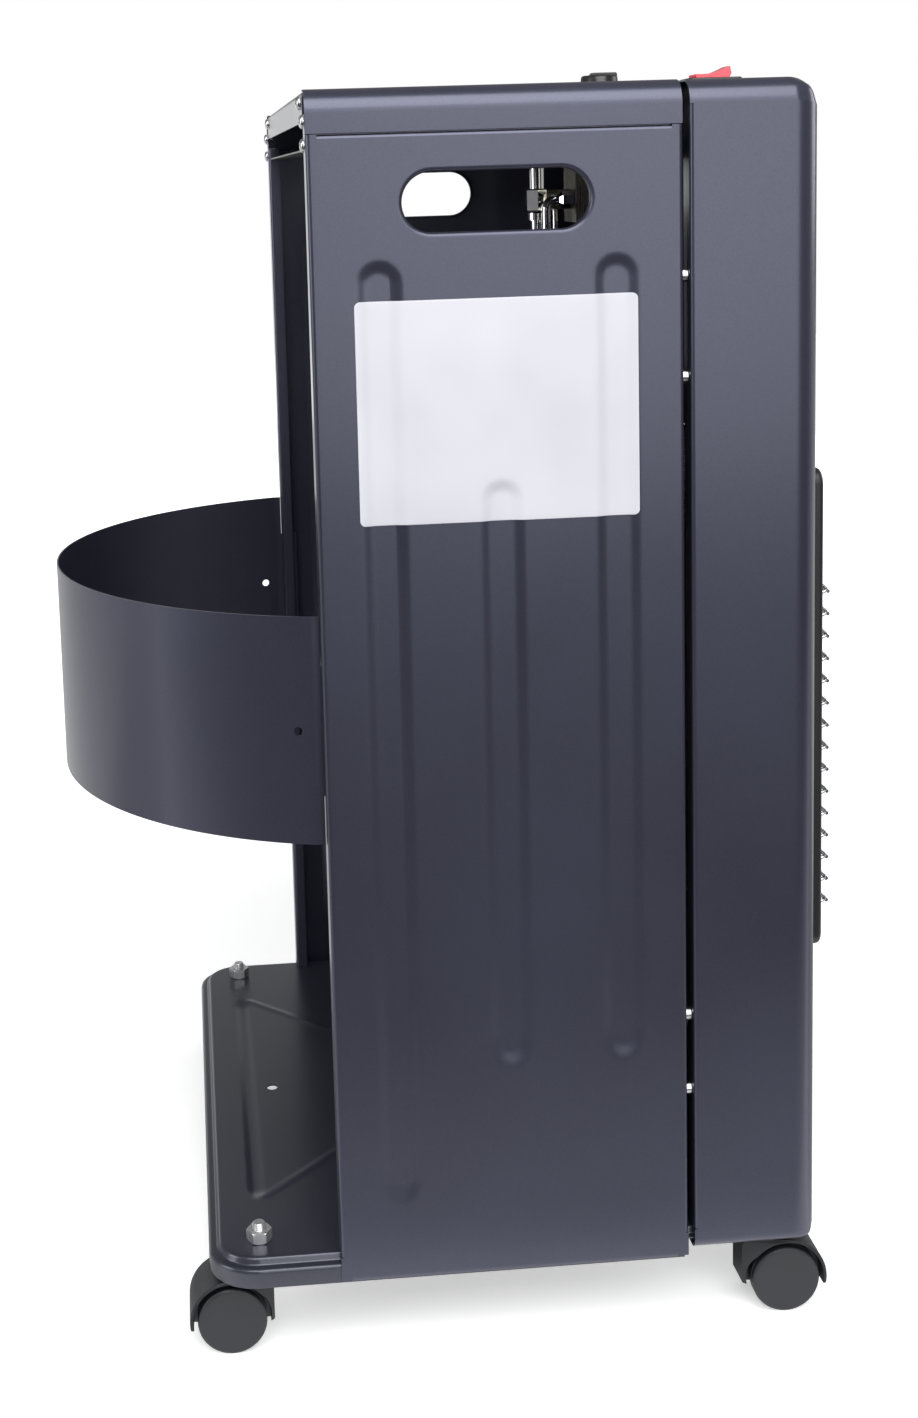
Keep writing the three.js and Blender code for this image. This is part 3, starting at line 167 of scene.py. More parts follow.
def put_out(group, **masks):
    for name in masks:
        group.interface.new_socket(name, in_out="OUTPUT", socket_type="NodeSocketFloat")
    node(group, "NodeGroupOutput", masks)


def noise(tree, where, scale, detail):
    parts = {"Vector": where, "Scale": scale, "Detail": detail}
    return node(tree, "ShaderNodeTexNoise", parts).outputs["Fac"]


def cells(tree, where, scale):
    """Small cells, each with a grey of its own."""
    cell = node(tree, "ShaderNodeTexVoronoi", {"Vector": where, "Scale": scale})
    return node(tree, "ShaderNodeSeparateColor", {"Color": cell.outputs["Color"]}).outputs["Red"]


def pattern(surface, group, **sizes):
    """Places a node group beside a surface with its own sizes, and gives its masks."""
    placed = node(surface.id_data, "ShaderNodeGroup", node_tree=group)
    for name, value in sizes.items():
        placed.inputs[name.replace("_", " ")].default_value = value
    return placed.outputs


def tint(surface, mask, dark, light, low=0.3, high=0.7):
    """The colour runs from dark to light as a mask runs from low to high."""
    tree = surface.id_data
    ramp = node(tree, "ShaderNodeValToRGB", {"Fac": mask})
    for n, (place, colour) in enumerate(((low, dark), (high, light))):
        ramp.color_ramp.elements[n].position = place
        ramp.color_ramp.elements[n].color = (*colour, 1.0)
    tree.links.new(ramp.outputs["Color"], surface.inputs["Base Color"])


def satin(surface, mask, low, high):
    """The roughness runs from low to high with a mask."""
    tree = surface.id_data
    tree.links.new(ramped(tree, mask, 0.3, 0.7, low, high), surface.inputs["Roughness"])


def relief(surface, height, depth, distance):
    """Raises a height on the surface; depth is the share of it, distance its full height in metres."""
    tree = surface.id_data
    bump = node(tree, "ShaderNodeBump", {"Height": height, "Strength": depth, "Distance": distance})
    tree.links.new(bump.outputs["Normal"], surface.inputs["Normal"])


powder, given, where = effect("powder_coat", "Peel Size", "Flake Size", "Cloud Size")
put_out(
    powder,
    Peel=noise(powder, where, given["Peel Size"], 2.0),
    Flake=cells(powder, where, given["Flake Size"]),
    Cloud=noise(powder, where, given["Cloud Size"], 4.0),
)


def powder_coated(name, dark, light, roughness, metallic, gloss=0.0):
    material, surface = finish(name, light, roughness[0], metallic, Coat_Weight=gloss, Coat_Roughness=0.17)
    coat = pattern(surface, powder, Peel_Size=620.0, Flake_Size=2600.0, Cloud_Size=5.0)
    shares = {0: 0.35, 2: coat["Cloud"], 3: coat["Flake"]}
    mottle = node(surface.id_data, "ShaderNodeMix", shares, data_type="FLOAT")
    tint(surface, mottle.outputs[0], dark, light, 0.25, 0.75)
    satin(surface, coat["Cloud"], *roughness)
    relief(surface, coat["Peel"], 0.25, 0.00006)
    return material


graphite_coat = powder_coated(
    "graphite_powder_coat", (0.045, 0.047, 0.071), (0.061, 0.064, 0.098), (0.29, 0.37), 0.6, 0.28
)
black_coat = powder_coated(
    "black_powder_coat", (0.010, 0.010, 0.012), (0.020, 0.020, 0.023), (0.34, 0.44), 0.15
)

# ---- Side panels ----
# One blank of sheet steel each, pressed with three long stiffening ribs, folded at the front and the rear,
# rolled in along the bottom and stepped in along the top for the cover. The hand slot has a rolled rim.


def box_mm(name):
    low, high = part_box(name)
    return low * 1000, high * 1000


def near(a, b):
    return abs(a - b) < 0.01


def spaced(low, high, step):
    count = max(round((high - low) / step), 1)
    return [low + (high - low) * i / count for i in range(count + 1)]


def quarter(steps):
    """Angles over a quarter turn."""
    return spaced(0, math.pi / 2, math.pi / 2 / steps)


def swell(share):
    """Rises softly from 0 to 1 while share runs from 0 to 1."""
    share = min(max(share, 0.0), 1.0)
    return share * share * (3 - 2 * share)


def walls(bm, rings):
    """Faces between each closed ring of corners and the next."""
    for before, after in zip(rings, rings[1:]):
        for n in range(len(before)):
            m = (n + 1) % len(before)
            bm.faces.new([before[n], before[m], after[m], after[n]])


def sheet(bm, grid):
    """Faces over a grid of corners."""
    for row, after in zip(grid, grid[1:]):
        for n in range(len(row) - 1):
            bm.faces.new([row[n], after[n], after[n + 1], row[n + 1]])


def held(edges, test):
    """Those of the edges whose two ends pass a test."""
    return [edge for edge in edges if all(test(v.co) for v in edge.verts)]


def free_edges(bm, test):
    return held([edge for edge in bm.edges if edge.is_boundary], test)


def without(edges, *others):
    return [edge for edge in edges if not any(edge in other for other in others)]


def run(bm, edges, move):
    """Draws a sheet's free edge on by a move, and gives back the new free edge."""
    made = bmesh.ops.extrude_edge_only(bm, edges=edges)["geom"]
    fresh = {part for part in made if isinstance(part, bmesh.types.BMVert)}
    bmesh.ops.translate(bm, vec=Vector(move), verts=list(fresh))
    return [part for part in made if isinstance(part, bmesh.types.BMEdge) and set(part.verts) <= fresh]


def bend(bm, edges, out, turn, radius, steps=6):
    """Carries a sheet's free edge round a right angle: it runs towards out and turns towards turn."""
    for step in range(steps):
        a, b = (math.pi / 2 * (step + n) / steps for n in (0, 1))
        along = Vector(out) * radius * (math.sin(b) - math.sin(a))
        edges = run(bm, edges, along + Vector(turn) * radius * (math.cos(a) - math.cos(b)))
    return edges


def settle(name, bm, inside=None):
    """Joins loose corners, turns the faces outwards and gives back a mesh, still in millimetres. An open
    skin needs a point on its inner side."""
    bmesh.ops.remove_doubles(bm, verts=bm.verts, dist=0.002)
    bmesh.ops.recalc_face_normals(bm, faces=bm.faces)
    if inside is not None:
        inside = Vector(inside)
        outward = sum(f.normal.dot(f.calc_center_median() - inside) * f.calc_area() for f in bm.faces)
        if outward < 0:
            bmesh.ops.reverse_faces(bm, faces=bm.faces)
    for face in bm.faces:
        face.smooth = True
    mesh = bpy.data.meshes.new(name)
    bm.to_mesh(mesh)
    bm.free()
    return mesh


def taken(holder):
    """Takes the finished mesh of an object, and the object out of the scene."""
    done = bpy.data.meshes.new_from_object(holder.evaluated_get(bpy.context.evaluated_depsgraph_get()))
    bpy.data.objects.remove(holder)
    return done


def worked(name, bm, inside=None, wall=0.0, eased=0.0, ease_steps=2, holes=(), angle=40.0):
    """Gives a skin its wall, inwards, cuts its holes, eases its edges, and brings it to metres."""
    blank = put(name, settle(name, bm, inside))
    if wall:
        shell = blank.modifiers.new("wall", "SOLIDIFY")
        shell.thickness = wall
        shell.offset = -1.0
        shell.use_even_offset = True
    for hole in holes:
        drill = blank.modifiers.new("hole", "BOOLEAN")
        drill.operation = "DIFFERENCE"
        drill.object = hole
    if eased:
        ease = blank.modifiers.new("ease", "BEVEL")
        ease.width = eased
        ease.segments = ease_steps
        ease.limit_method = "ANGLE"
        ease.angle_limit = math.radians(angle)
        ease.use_clamp_overlap = True
        level = blank.modifiers.new("level", "WEIGHTED_NORMAL")
        level.keep_sharp = True
    done = taken(blank)
    for hole in holes:
        bpy.data.objects.remove(hole)
    done.name = name
    done.transform(Matrix.Scale(0.001, 4))
    if not eased:
        done.set_sharp_from_angle(angle=math.radians(angle))
    return done


def fit(name, mesh, material, slot, body="cabinet", stands_for=()):
    """Puts a finished mesh on the heater: its material and the body that it rides on. The slot is not used.
    """
    mesh.materials.clear()
    mesh.materials.append(material)
    piece = put(name, mesh)
    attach(piece, body)
    if stands_for:
        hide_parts(*stands_for)


def cutter(points, faces):
    """A closed form in millimetres that a hole is cut with."""
    mesh = bpy.data.meshes.new("cutter")
    mesh.from_pydata(points, [], faces)
    return put("cutter", mesh)


box_faces = [(0, 1, 3, 2), (4, 6, 7, 5), (0, 4, 5, 1), (2, 3, 7, 6), (0, 2, 6, 4), (1, 5, 7, 3)]


def box_points(low, high):
    return [(x, y, z) for x in (low[0], high[0]) for y in (low[1], high[1]) for z in (low[2], high[2])]


panel_low, panel_high = box_mm("left_side_panel")
panel_face, panel_rear, panel_front = panel_low.x + 0.2, panel_high.y, panel_low.y
panel_middle = (panel_rear + panel_front) / 2
panel_bottom, flange_top = panel_low.z, panel_high.z
tray_top = panel_bottom + 16.4
panel_top = flange_top - 10.7
slot_middle, slot_half, slot_radius = panel_top - 37.0, 34.5, 16.0
fold, step_edge = 2.5, panel_top - 2.2
rib_half, rib_slope, rib_deep = 13.5, 8.0, 1.7
ribs = [
    (panel_middle + 64, panel_bottom + 45, panel_top - 66),
    (panel_middle, panel_bottom + 124, panel_top - 185),
    (panel_middle - 64, panel_bottom + 124, panel_top - 66),
]


def rib_depth(y, z):
    """How far the pressing lies behind the panel's face at a point. A rib runs out longer at its foot."""
    share = 0.0
    for rib_y, low, high in ribs:
        core = min(max(z, low + 21), high - rib_half)
        past = (z - core) * (0.64 if z < core else 1.0)
        share = max(share, swell((rib_half - math.hypot(y - rib_y, past)) / rib_slope))
    return rib_deep * share


def merged_lines(*rows):
    """All the values in order, without those that lie close behind another."""
    found = []
    for value in sorted(value for row in rows for value in row):
        if not found or value - found[-1] > 0.3:
            found.append(value)
    return found


def in_lip(point):
    return panel_front + 5.9 < point.y < panel_rear - 5.9


def panel_skin():
    half = (panel_rear - panel_front) / 2
    patch_y, patch_z = 58, 24
    across = merged_lines(
        [-half + fold, -half + 6, half - 6, half - fold, -patch_y, patch_y, -86, 86],
        *(spaced(c - 14, c + 14, 1.4) for c in (-64, 0, 64)),
        spaced(-47.5, -17.5, 3),
        spaced(17.5, 47.5, 3),
    )
    across = [panel_middle + value for value in across]
    up = merged_lines(
        [panel_bottom + 5, tray_top + 0.3, panel_top - 4, step_edge],
        *(spaced(low, low + 22, 2) for low in (panel_bottom + 44.5, panel_bottom + 123.5)),
        *(spaced(high - 15, high, 1.5) for high in (panel_top - 184.5, panel_top - 65.5)),
        spaced(slot_middle - patch_z, slot_middle + patch_z, 3),
        spaced(panel_bottom + 70, panel_bottom + 115, 15),
        spaced(panel_bottom + 160, panel_bottom + 440, 28),
        spaced(panel_top - 166, panel_top - 86, 20),
    )
    bm = bmesh.new()
    made = {}

    def spot(i, j):
        if (i, j) not in made:
            y, z = across[i], up[j]
            made[i, j] = bm.verts.new((panel_face + rib_depth(y, z), y, z))
        return made[i, j]

    def index(lines, value):
        return min(range(len(lines)), key=lambda n: abs(lines[n] - value))

    i0, i1 = (index(across, panel_middle + y) for y in (-patch_y, patch_y))
    j0, j1 = (index(up, slot_middle + z) for z in (-patch_z, patch_z))
    for i in range(len(across) - 1):
        for j in range(len(up) - 1):
            if not (i0 <= i < i1 and j0 <= j < j1):
                bm.faces.new([spot(i, j), spot(i, j + 1), spot(i + 1, j + 1), spot(i + 1, j)])
    rim = [(i, j0) for i in range(i0, i1)] + [(i1, j) for j in range(j0, j1)]
    rim += [(i, j1) for i in range(i1, i0, -1)] + [(i0, j) for j in range(j1, j0, -1)]
    rings = [[spot(i, j) for i, j in rim]]
    rolled = [(slot_radius + fold * (1 - math.sin(a)), fold * (1 - math.cos(a))) for a in quarter(6)]
    for radius, depth in [(18.7, 0.0), *rolled, (slot_radius, 4.2)]:
        rings.append([])
        for start in rings[0]:
            core_y = min(max(start.co.y, panel_middle - slot_half), panel_middle + slot_half)
            core = Vector((0, core_y, slot_middle))
            away = Vector((0, start.co.y, start.co.z)) - core
            point = core + away.normalized() * radius + Vector((panel_face + depth, 0, 0))
            rings[-1].append(bm.verts.new(point))
    walls(bm, rings)

    for out, edge_y in ((1, panel_rear - fold), (-1, panel_front + fold)):
        edges = free_edges(bm, lambda p: near(p.y, edge_y) and p.x < panel_face + 0.1)
        low = held(edges, lambda p: p.z < tray_top + 0.4)
        folded = bend(bm, without(edges, low), (0, out, 0), (1, 0, 0), fold)
        run(bm, low, (0, out * fold, 0))
        if out < 0:
            run(bm, folded, (11.5, 0, 0))
        else:
            folded = run(bm, run(bm, folded, (0.8, 0, 0)), (12.2, 0, 0))
            run(bm, bend(bm, folded, (1, 0, 0), (0, -1, 0), fold), (0, -5.5, 0))
    low_edge = free_edges(bm, lambda p: near(p.z, panel_bottom + 5))
    lip = held(low_edge, in_lip)
    run(bm, without(low_edge, lip), (0, 0, -2))
    run(bm, bend(bm, lip, (0, 0, -1), (1, 0, 0), 5), (3, 0, 0))
    high_edge = free_edges(bm, lambda p: near(p.z, step_edge))
    ledge = held(high_edge, lambda p: in_lip(p) and p.x < panel_face + 0.1)
    riser = held(high_edge, lambda p: near(p.y, panel_rear) and p.x > panel_face + 3.2)
    run(bm, without(high_edge, ledge, riser), (0, 0, 2.2))
    run(bm, riser, (0, 0, flange_top - panel_top + 2.2))
    for step in ((0.5, 0, 1.1), (0.3, 0, 0.3), (1.9, 0, 0.2)):
        ledge = run(bm, ledge, step)
    run(bm, bend(bm, ledge, (1, 0, 0), (0, 0, 1), 0.5, 3), (0, 0, flange_top - panel_top + 0.1))
    return bm


band_low, band_high = box_mm("bottle_band")
band_x, band_middle, tongue_half = 198.0, (band_low.z + band_high.z) / 2, 37.0
for hand, side in ((-1, "left"), (1, "right")):
    bm = panel_skin()
    if hand > 0:
        bmesh.ops.scale(bm, vec=(-1, 1, 1), verts=bm.verts)
    low_x, high_x = sorted(hand * (band_x + play) for play in (-1.4, 0.4))
    slit_low = (low_x, panel_rear - 2, band_middle - tongue_half - 0.4)
    slit_high = (high_x, panel_rear + 1, band_middle + tongue_half + 0.4)
    slit = cutter(box_points(slit_low, slit_high), box_faces)
    inside = (0, panel_middle, 380)
    mesh = worked(side + "_panel", bm, inside, wall=1.0, eased=0.2, holes=[slit], angle=20)
    fit(side + "_panel_sheet", mesh, graphite_coat, "graphite_enamel", stands_for=[side + "_side_panel"])

# ---- Rating label ----
# Thin satin plastic film on the left panel, left bare. It is stuck over the ribs and dips into them.


def ring_of(half_u, half_v, radius, us, vs, steps=6):
    """The outline of a rounded rectangle. The straight runs are divided by the fractions us and vs."""
    cu, cv = half_u - radius, half_v - radius
    quarters = (
        (1, -1, [(half_u, cv * (2 * f - 1)) for f in vs[1:-1]]),
        (1, 1, [(cu * (2 * f - 1), half_v) for f in us[-2:0:-1]]),
        (-1, 1, [(-half_u, cv * (2 * f - 1)) for f in vs[-2:0:-1]]),
        (-1, -1, [(cu * (2 * f - 1), -half_v) for f in us[1:-1]]),
    )
    points = []
    for n, (su, sv, straight) in enumerate(quarters):
        for k in range(steps + 1):
            a = math.radians(-90 + 90 * n + 90 * k / steps)
            points.append((su * cu + radius * math.cos(a), sv * cv + radius * math.sin(a)))
        points += straight
    return points


def rounded_plate(half_u, half_v, rings, us, vs, place, filled=True):
    """A rounded plate as rings from its edge inwards, with a grid inside them. rings holds (inset, corner
    radius, anything), and place(u, v, anything) gives a point."""
    bm = bmesh.new()
    made = []
    for inset, radius, what in rings:
        outline = ring_of(half_u - inset, half_v - inset, radius, us, vs)
        made.append([bm.verts.new(place(u, v, what)) for u, v in outline])
    walls(bm, made)
    if filled:
        inset, _, what = rings[-1]
        hu, hv = half_u - inset, half_v - inset
        sheet(bm, [[bm.verts.new(place(hu * (2 * f - 1), hv * (2 * g - 1), what)) for g in vs] for f in us])
    return bm


label_y, label_z = panel_middle + 1.0, panel_top - 149.0


def on_label(u, v, lift):
    """The film can't follow sharp dips: it lies as high as the highest metal within a millimetre."""
    y, z = label_y + u, label_z + v
    depth = min(rib_depth(y + dy, z + dz) for dy, dz in ((0, 0), (-1, 0), (1, 0), (0, -1), (0, 1)))
    return (panel_face + depth - lift, y, z)


edge_rings = [(0, 3.0, 0.02), (0, 3.0, 0.16), (0.15, 2.85, 0.2), (1.2, 1.8, 0.2), (3, 0, 0.2)]
bm = rounded_plate(76.5, 60.5, edge_rings, spaced(0, 1, 1 / 102), spaced(0, 1, 1 / 80), on_label)
fibre, given, where = effect("paper_fibre", "Size", "Cloud")
put_out(fibre, Fibre=noise(fibre, where, given["Size"], 3.0), Cloud=noise(fibre, where, given["Cloud"], 2.0))
label_white, surface = finish("label_film", (0.61, 0.61, 0.67), 0.38, Coat_Weight=0.15, Coat_Roughness=0.3)
film = pattern(surface, fibre, Size=900.0, Cloud=14.0)
tint(surface, film["Cloud"], (0.57, 0.57, 0.63), (0.64, 0.64, 0.69))
satin(surface, film["Fibre"], 0.34, 0.44)
relief(surface, film["Fibre"], 0.12, 0.00005)
mesh = worked("label", bm, inside=(0, label_y, label_z))
fit("blank_rating_label", mesh, label_white, "white_ceramic")

# ---- Top cover ----
# Sheet steel with wide rolled long edges that overlap the stepped panels, and a narrow fold to a screwed
# flange at the rear and at the front.
cover_low, cover_high = box_mm("top_cover")
cover_roll, cover_fold, cover_flange = 13.0, 3.5, 17.0
flange_half = cover_high.x - 18.3
bm = bmesh.new()
xs = [cover_low.x + cover_roll, -flange_half, *spaced(-150, 150, 50), flange_half, cover_high.x - cover_roll]
ys = spaced(cover_low.y + cover_fold, cover_high.y - cover_fold, 24)
sheet(bm, [[bm.verts.new((x, y, cover_high.z)) for y in ys] for x in xs])
for hand in (-1, 1):
    side = free_edges(bm, lambda p: near(p.x, hand * (cover_high.x - cover_roll)))
    side = bend(bm, side, (hand, 0, 0), (0, 0, -1), cover_roll, 10)
    run(bm, side, (0, 0, cover_low.z - cover_high.z + cover_roll))
for out, end_y in ((-1, ys[0]), (1, ys[-1])):
    end = free_edges(bm, lambda p: near(p.y, end_y))
    flat = held(end, lambda p: abs(p.x) < flange_half + 0.1)
    run(bm, without(end, flat), (0, out * cover_fold, 0))
    run(bm, bend(bm, flat, (0, out, 0), (0, 0, -1), cover_fold, 5), (0, 0, cover_fold - cover_flange))
inside = (0, (cover_low.y + cover_high.y) / 2, cover_low.z)
mesh = worked("cover", bm, inside, wall=1.0, eased=0.2)
fit("rolled_top_cover", mesh, graphite_coat, "graphite_enamel", stands_for=["top_cover"])

# ---- Front casing ----
# A deep-drawn front with rolled corners all round, open at the back, folded in along its rear edges and
# turned in at the bottom. It holds the guard's window, the switch and the hole for the valve's spindle.
case_low, case_high = box_mm("front_casing")
bezel_low, bezel_high = box_mm("guard_bezel")
case_rear = panel_front - 3.7
corner_round, roll_round, foot_round = 16.0, 13.0, 7.0
bm = bmesh.new()
corners = [bm.verts.new(p) for p in box_points(case_low, (case_high.x, case_rear - fold, case_high.z))]
for face in box_faces[:3] + box_faces[4:]:
    bm.faces.new([corners[n] for n in face])
weight = bm.edges.layers.float.new("bevel_weight_edge")
for edge in bm.edges:
    a, b = (v.co for v in edge.verts)
    if near(a.y, case_low.y) and near(b.y, case_low.y):
        upright = not near(a.z, b.z)
        size = corner_round if upright or near(a.z, case_high.z) else foot_round
    elif not near(a.y, b.y):
        size = roll_round if near(a.z, case_high.z) else foot_round
    else:
        size = 0.0
    edge[weight] = size / corner_round
blank = put("casing_blank", settle("casing_blank", bm, inside=(0, -180, 380)))
roll = blank.modifiers.new("roll", "BEVEL")
roll.width = corner_round
roll.segments = 9
roll.limit_method = "WEIGHT"
bm = bmesh.new()
bm.from_mesh(taken(blank))


def cut_opening(bm, facing, **sides):
    """Scores the flat wall that faces one way along pairs of planes, and takes out what lies between."""

    def wall():
        return [f for f in bm.faces if f.normal.dot(facing) > 0.999]

    for axis, planes in sides.items():
        normal = Vector([float(axis == name) for name in "xyz"])
        for plane in planes:
            parts = wall()
            parts += list({part for face in parts for part in (*face.edges, *face.verts)})
            bmesh.ops.bisect_plane(bm, geom=parts, plane_co=normal * plane, plane_no=normal)
    gone = wall()
    for axis, (low, high) in sides.items():
        gone = [f for f in gone if low < getattr(f.calc_center_median(), axis) < high]
    bmesh.ops.delete(bm, geom=gone, context="FACES")


bezel_rim, lip = 7, 12
window_x = (bezel_low.x + bezel_rim, bezel_high.x - bezel_rim)
window_z = (bezel_low.z + bezel_rim, bezel_high.z - bezel_rim)
cut_opening(bm, Vector((0, -1, 0)), x=window_x, z=window_z)
foot_x = case_high.x - lip
cut_opening(bm, Vector((0, 0, -1)), x=(-foot_x, foot_x), y=(case_low.y + lip, case_rear))
housing_low, housing_high = box_mm("switch_housing")
spindle_low, spindle_high = box_mm("valve_spindle")
switch_x, switch_y, _ = (housing_low + housing_high) / 2
knob_x, knob_y, _ = (spindle_low + spindle_high) / 2
for x, y, half_x, half_y in ((switch_x, switch_y, 9.0, 13.3), (knob_x, knob_y, 7.0, 7.0)):
    cut_opening(bm, Vector((0, 0, 1)), x=(x - half_x, x + half_x), y=(y - half_y, y + half_y))
flange_from, flange_to = case_low.z + 13, case_high.z - roll_round


def beside_flange(point):
    return near(abs(point.x), case_high.x) and flange_from - 0.01 < point.z < flange_to + 0.01


for height in (flange_from, flange_to):
    parts = [*bm.verts, *bm.edges, *bm.faces]
    bmesh.ops.bisect_plane(bm, geom=parts, plane_co=(0, 0, height), plane_no=(0, 0, 1))
back = free_edges(bm, lambda p: near(p.y, case_rear - fold))
for hand in (-1, 1):
    side = held(back, lambda p: p.x * hand > 0 and beside_flange(p))
    run(bm, bend(bm, side, (0, 1, 0), (-hand, 0, 0), fold), (-hand * 11.5, 0, 0))
    back = without(back, side)
run(bm, back, (0, fold, 0))
mesh = worked("casing", bm, inside=(0, (case_low.y + case_rear) / 2, 380), wall=1.0, eased=0.2)
fit("rolled_front_casing", mesh, graphite_coat, "graphite_enamel", stands_for=["front_casing"])

# ---- Base tray ----
# The floor of the heater and seat of the bottle: one pressing with a turned-down skirt, a rounded step
# round its edge, a swage across the rear, two diagonal beads and a drain hole.
tray_low, tray_high = box_mm("base_tray")
tray_floor = tray_high.z - 1.2
tray_middle = (tray_high.y + tray_low.y) / 2
tray_half = (tray_high.x, (tray_high.y - tray_low.y) / 2)
swage_y, swage_half = tray_high.y - 30, 142.0


def corner_arc(start, corner, end, steps):
    shares = [k / steps for k in range(steps + 1)]
    return [(1 - t) ** 2 * start + 2 * t * (1 - t) * corner + t * t * end for t in shares]


def rounded_path(points, steps=4):
    """Rounds the corners of a path; a point may hold its own radius as a third number."""
    path = []
    for n, point in enumerate(points):
        corner = Vector(point[:2])
        if len(point) < 3:
            path.append(corner)
            continue
        back, on = (Vector(points[n - 1][:2]) - corner), (Vector(points[n + 1][:2]) - corner)
        reach = point[2] * math.tan((math.pi - back.angle(on)) / 2)
        start, end = (corner + side.normalized() * reach for side in (back, on))
        path += corner_arc(start, corner, end, steps)
    return path


def tray_relief(x, y):
    """The swage and the two diagonal beads of the tray's floor."""
    across = math.hypot(max(abs(x) - swage_half + 16, 0) * 0.45, y - swage_y)
    side, back = swage_half - abs(x), swage_y - y
    along, off = (side + back) / math.sqrt(2), (side - back) / math.sqrt(2)
    past = max(8 - along, along - 98, 0)
    return 0.3 * swell((4.5 - math.hypot(off, past)) / 4.5) - 1.2 * swell((7.0 - across) / 6.5)


def tray_shares(half, middle, *rows):
    """Lines across the tray's floor as fractions of it, from nought to one."""
    lines = merged_lines([middle - half, middle + half], *rows)
    shares = [0.5 + (line - middle) / (2 * half) for line in lines]
    return [0.0, *[share for share in shares if 0.001 < share < 0.999], 1.0]


def tray_point(u, v, z):
    y = tray_middle + v
    return (u, y, z + (tray_relief(u, y) if near(z, tray_floor) else 0))


axes = {"X": (1, 2, 0), "Y": (2, 0, 1), "Z": (0, 1, 2)}


def drill_bit(centre, axis, radius, reach, sides=24):
    """A round cutter along X, Y or Z."""
    a, b, along = axes[axis]
    points = []
    for end in (-reach, reach):
        for side in range(sides):
            point = list(centre)
            point[a] += radius * math.cos(2 * math.pi * side / sides)
            point[b] += radius * math.sin(2 * math.pi * side / sides)
            point[along] += end
            points.append(point)
    around = [(i, (i + 1) % sides, sides + (i + 1) % sides, sides + i) for i in range(sides)]
    return cutter(points, [tuple(range(sides))[::-1], tuple(range(sides, 2 * sides)), *around])


tray_step, tray_edge = tray_floor - 4, 22
tray_profile = rounded_path(
    [(0, tray_low.z), (0, tray_step, 2.6), (4.9, tray_step, 1.6), (6.5, tray_floor, 2.2), (10, tray_floor)]
)
tray_rings = [(p.x, 28 - p.x, p.y) for p in tray_profile] + [(16, 9, tray_floor), (tray_edge, 0, tray_floor)]
inner_x, inner_y = (half - tray_edge for half in tray_half)
us = tray_shares(inner_x, 0.0, spaced(-165, -150, 5), spaced(-148, 148, 1.6), spaced(150, 165, 5))
wide = spaced(tray_middle - inner_y + 20, 30, 20)
vs = tray_shares(inner_y, tray_middle, wide, spaced(38, 108, 1.7), spaced(109.5, 122, 0.8))
bm = rounded_plate(*tray_half, tray_rings, us, vs, tray_point)
middles = [(face, face.calc_center_median()) for face in bm.faces]
hidden = [face for face, middle in middles if middle.y < case_rear and middle.z < tray_step - 0.1]
bmesh.ops.delete(bm, geom=hidden, context="FACES")
drain = drill_bit((0, tray_high.y - 46, tray_floor), "Z", 3.5, 6)
mesh = worked("tray", bm, inside=(0, tray_middle, tray_low.z - 20), wall=1.0, eased=0.15, holes=[drain])
# The tray has the graphite coat drawn darker and glossier: the darkness is painted shade for the cabinet's
# shadowed floor.
tray_shaded_coat = powder_coated(
    "tray_shaded_powder_coat", (0.032, 0.034, 0.049), (0.045, 0.048, 0.069), (0.28, 0.36), 0.5, 0.4
)
fit("pressed_base_tray", mesh, tray_shaded_coat, "graphite_enamel", stands_for=["base_tray"])

# ---- Bottle band ----
# A wide hoop of the same sheet that stops the bottle from tipping out. Its ends narrow to tongues, which
# pass slots in the panels' rear flanges and are screwed inside.
band_radius = 206.0
band_centre = band_high.y - band_radius
band_turn = math.atan2(band_x, panel_rear + 5.85 - band_centre)
hoop = [
    (band_radius * math.sin(a), band_centre + band_radius * math.cos(a))
    for a in spaced(-band_turn, band_turn, band_turn / 48)
]
tongue = [(band_x, panel_rear + along) for along in (3, 0.4, -11)]
plan = [(-x, y) for x, y in tongue[::-1]] + hoop + tongue
levels = [band_low.z, band_middle - tongue_half, band_middle, band_middle + tongue_half, band_high.z]
bm = bmesh.new()
grid = [[bm.verts.new((x, y, z)) for z in levels] for x, y in plan]
for n in range(len(plan) - 1):
    narrow = max(plan[n][1], plan[n + 1][1]) < panel_rear + 1
    sheet(bm, [row[1:4] if narrow else row for row in grid[n : n + 2]])
bmesh.ops.delete(bm, geom=[v for v in bm.verts if not v.link_faces], context="VERTS")
eyes = [drill_bit((hand * band_x, panel_rear + 13.4, band_middle), "X", 2.5, 8) for hand in (-1, 1)]
mesh = worked("band", bm, inside=(0, 0, band_middle), wall=1.0, eased=0.2, holes=eyes)
fit("bottle_hoop", mesh, graphite_coat, "graphite_enamel", stands_for=["bottle_band"])

# ---- Plated steel: screws, nuts and stems ----
# Bright zinc-plated fasteners. Round pieces are turned, so their finish runs in fine rings and streaks.
streaks, given, where = effect("plating_streaks", "Fine")
stretched = node(streaks, "ShaderNodeVectorMath", {0: where, 1: (1.0, 1.0, 0.04)}, operation="MULTIPLY")
fine = noise(streaks, stretched.outputs[0], given["Fine"], 2.0)
put_out(streaks, Streak=fine, Bloom=noise(streaks, where, 60.0, 3.0))


def plated(name, dark, light, roughness, fine=900.0, metallic=1.0):
    material, surface = finish(name, light, roughness[0], metallic)
    plate = pattern(surface, streaks, Fine=fine)
    tint(surface, plate["Bloom"], dark, light)
    satin(surface, plate["Streak"], *roughness)
    relief(surface, plate["Streak"], 0.1, 0.00002)
    return material


zinc = plated("zinc_plate", (0.52, 0.52, 0.53), (0.74, 0.74, 0.75), (0.16, 0.34))
chrome = plated("chrome_wire", (0.62, 0.62, 0.64), (0.80, 0.80, 0.82), (0.05, 0.12))


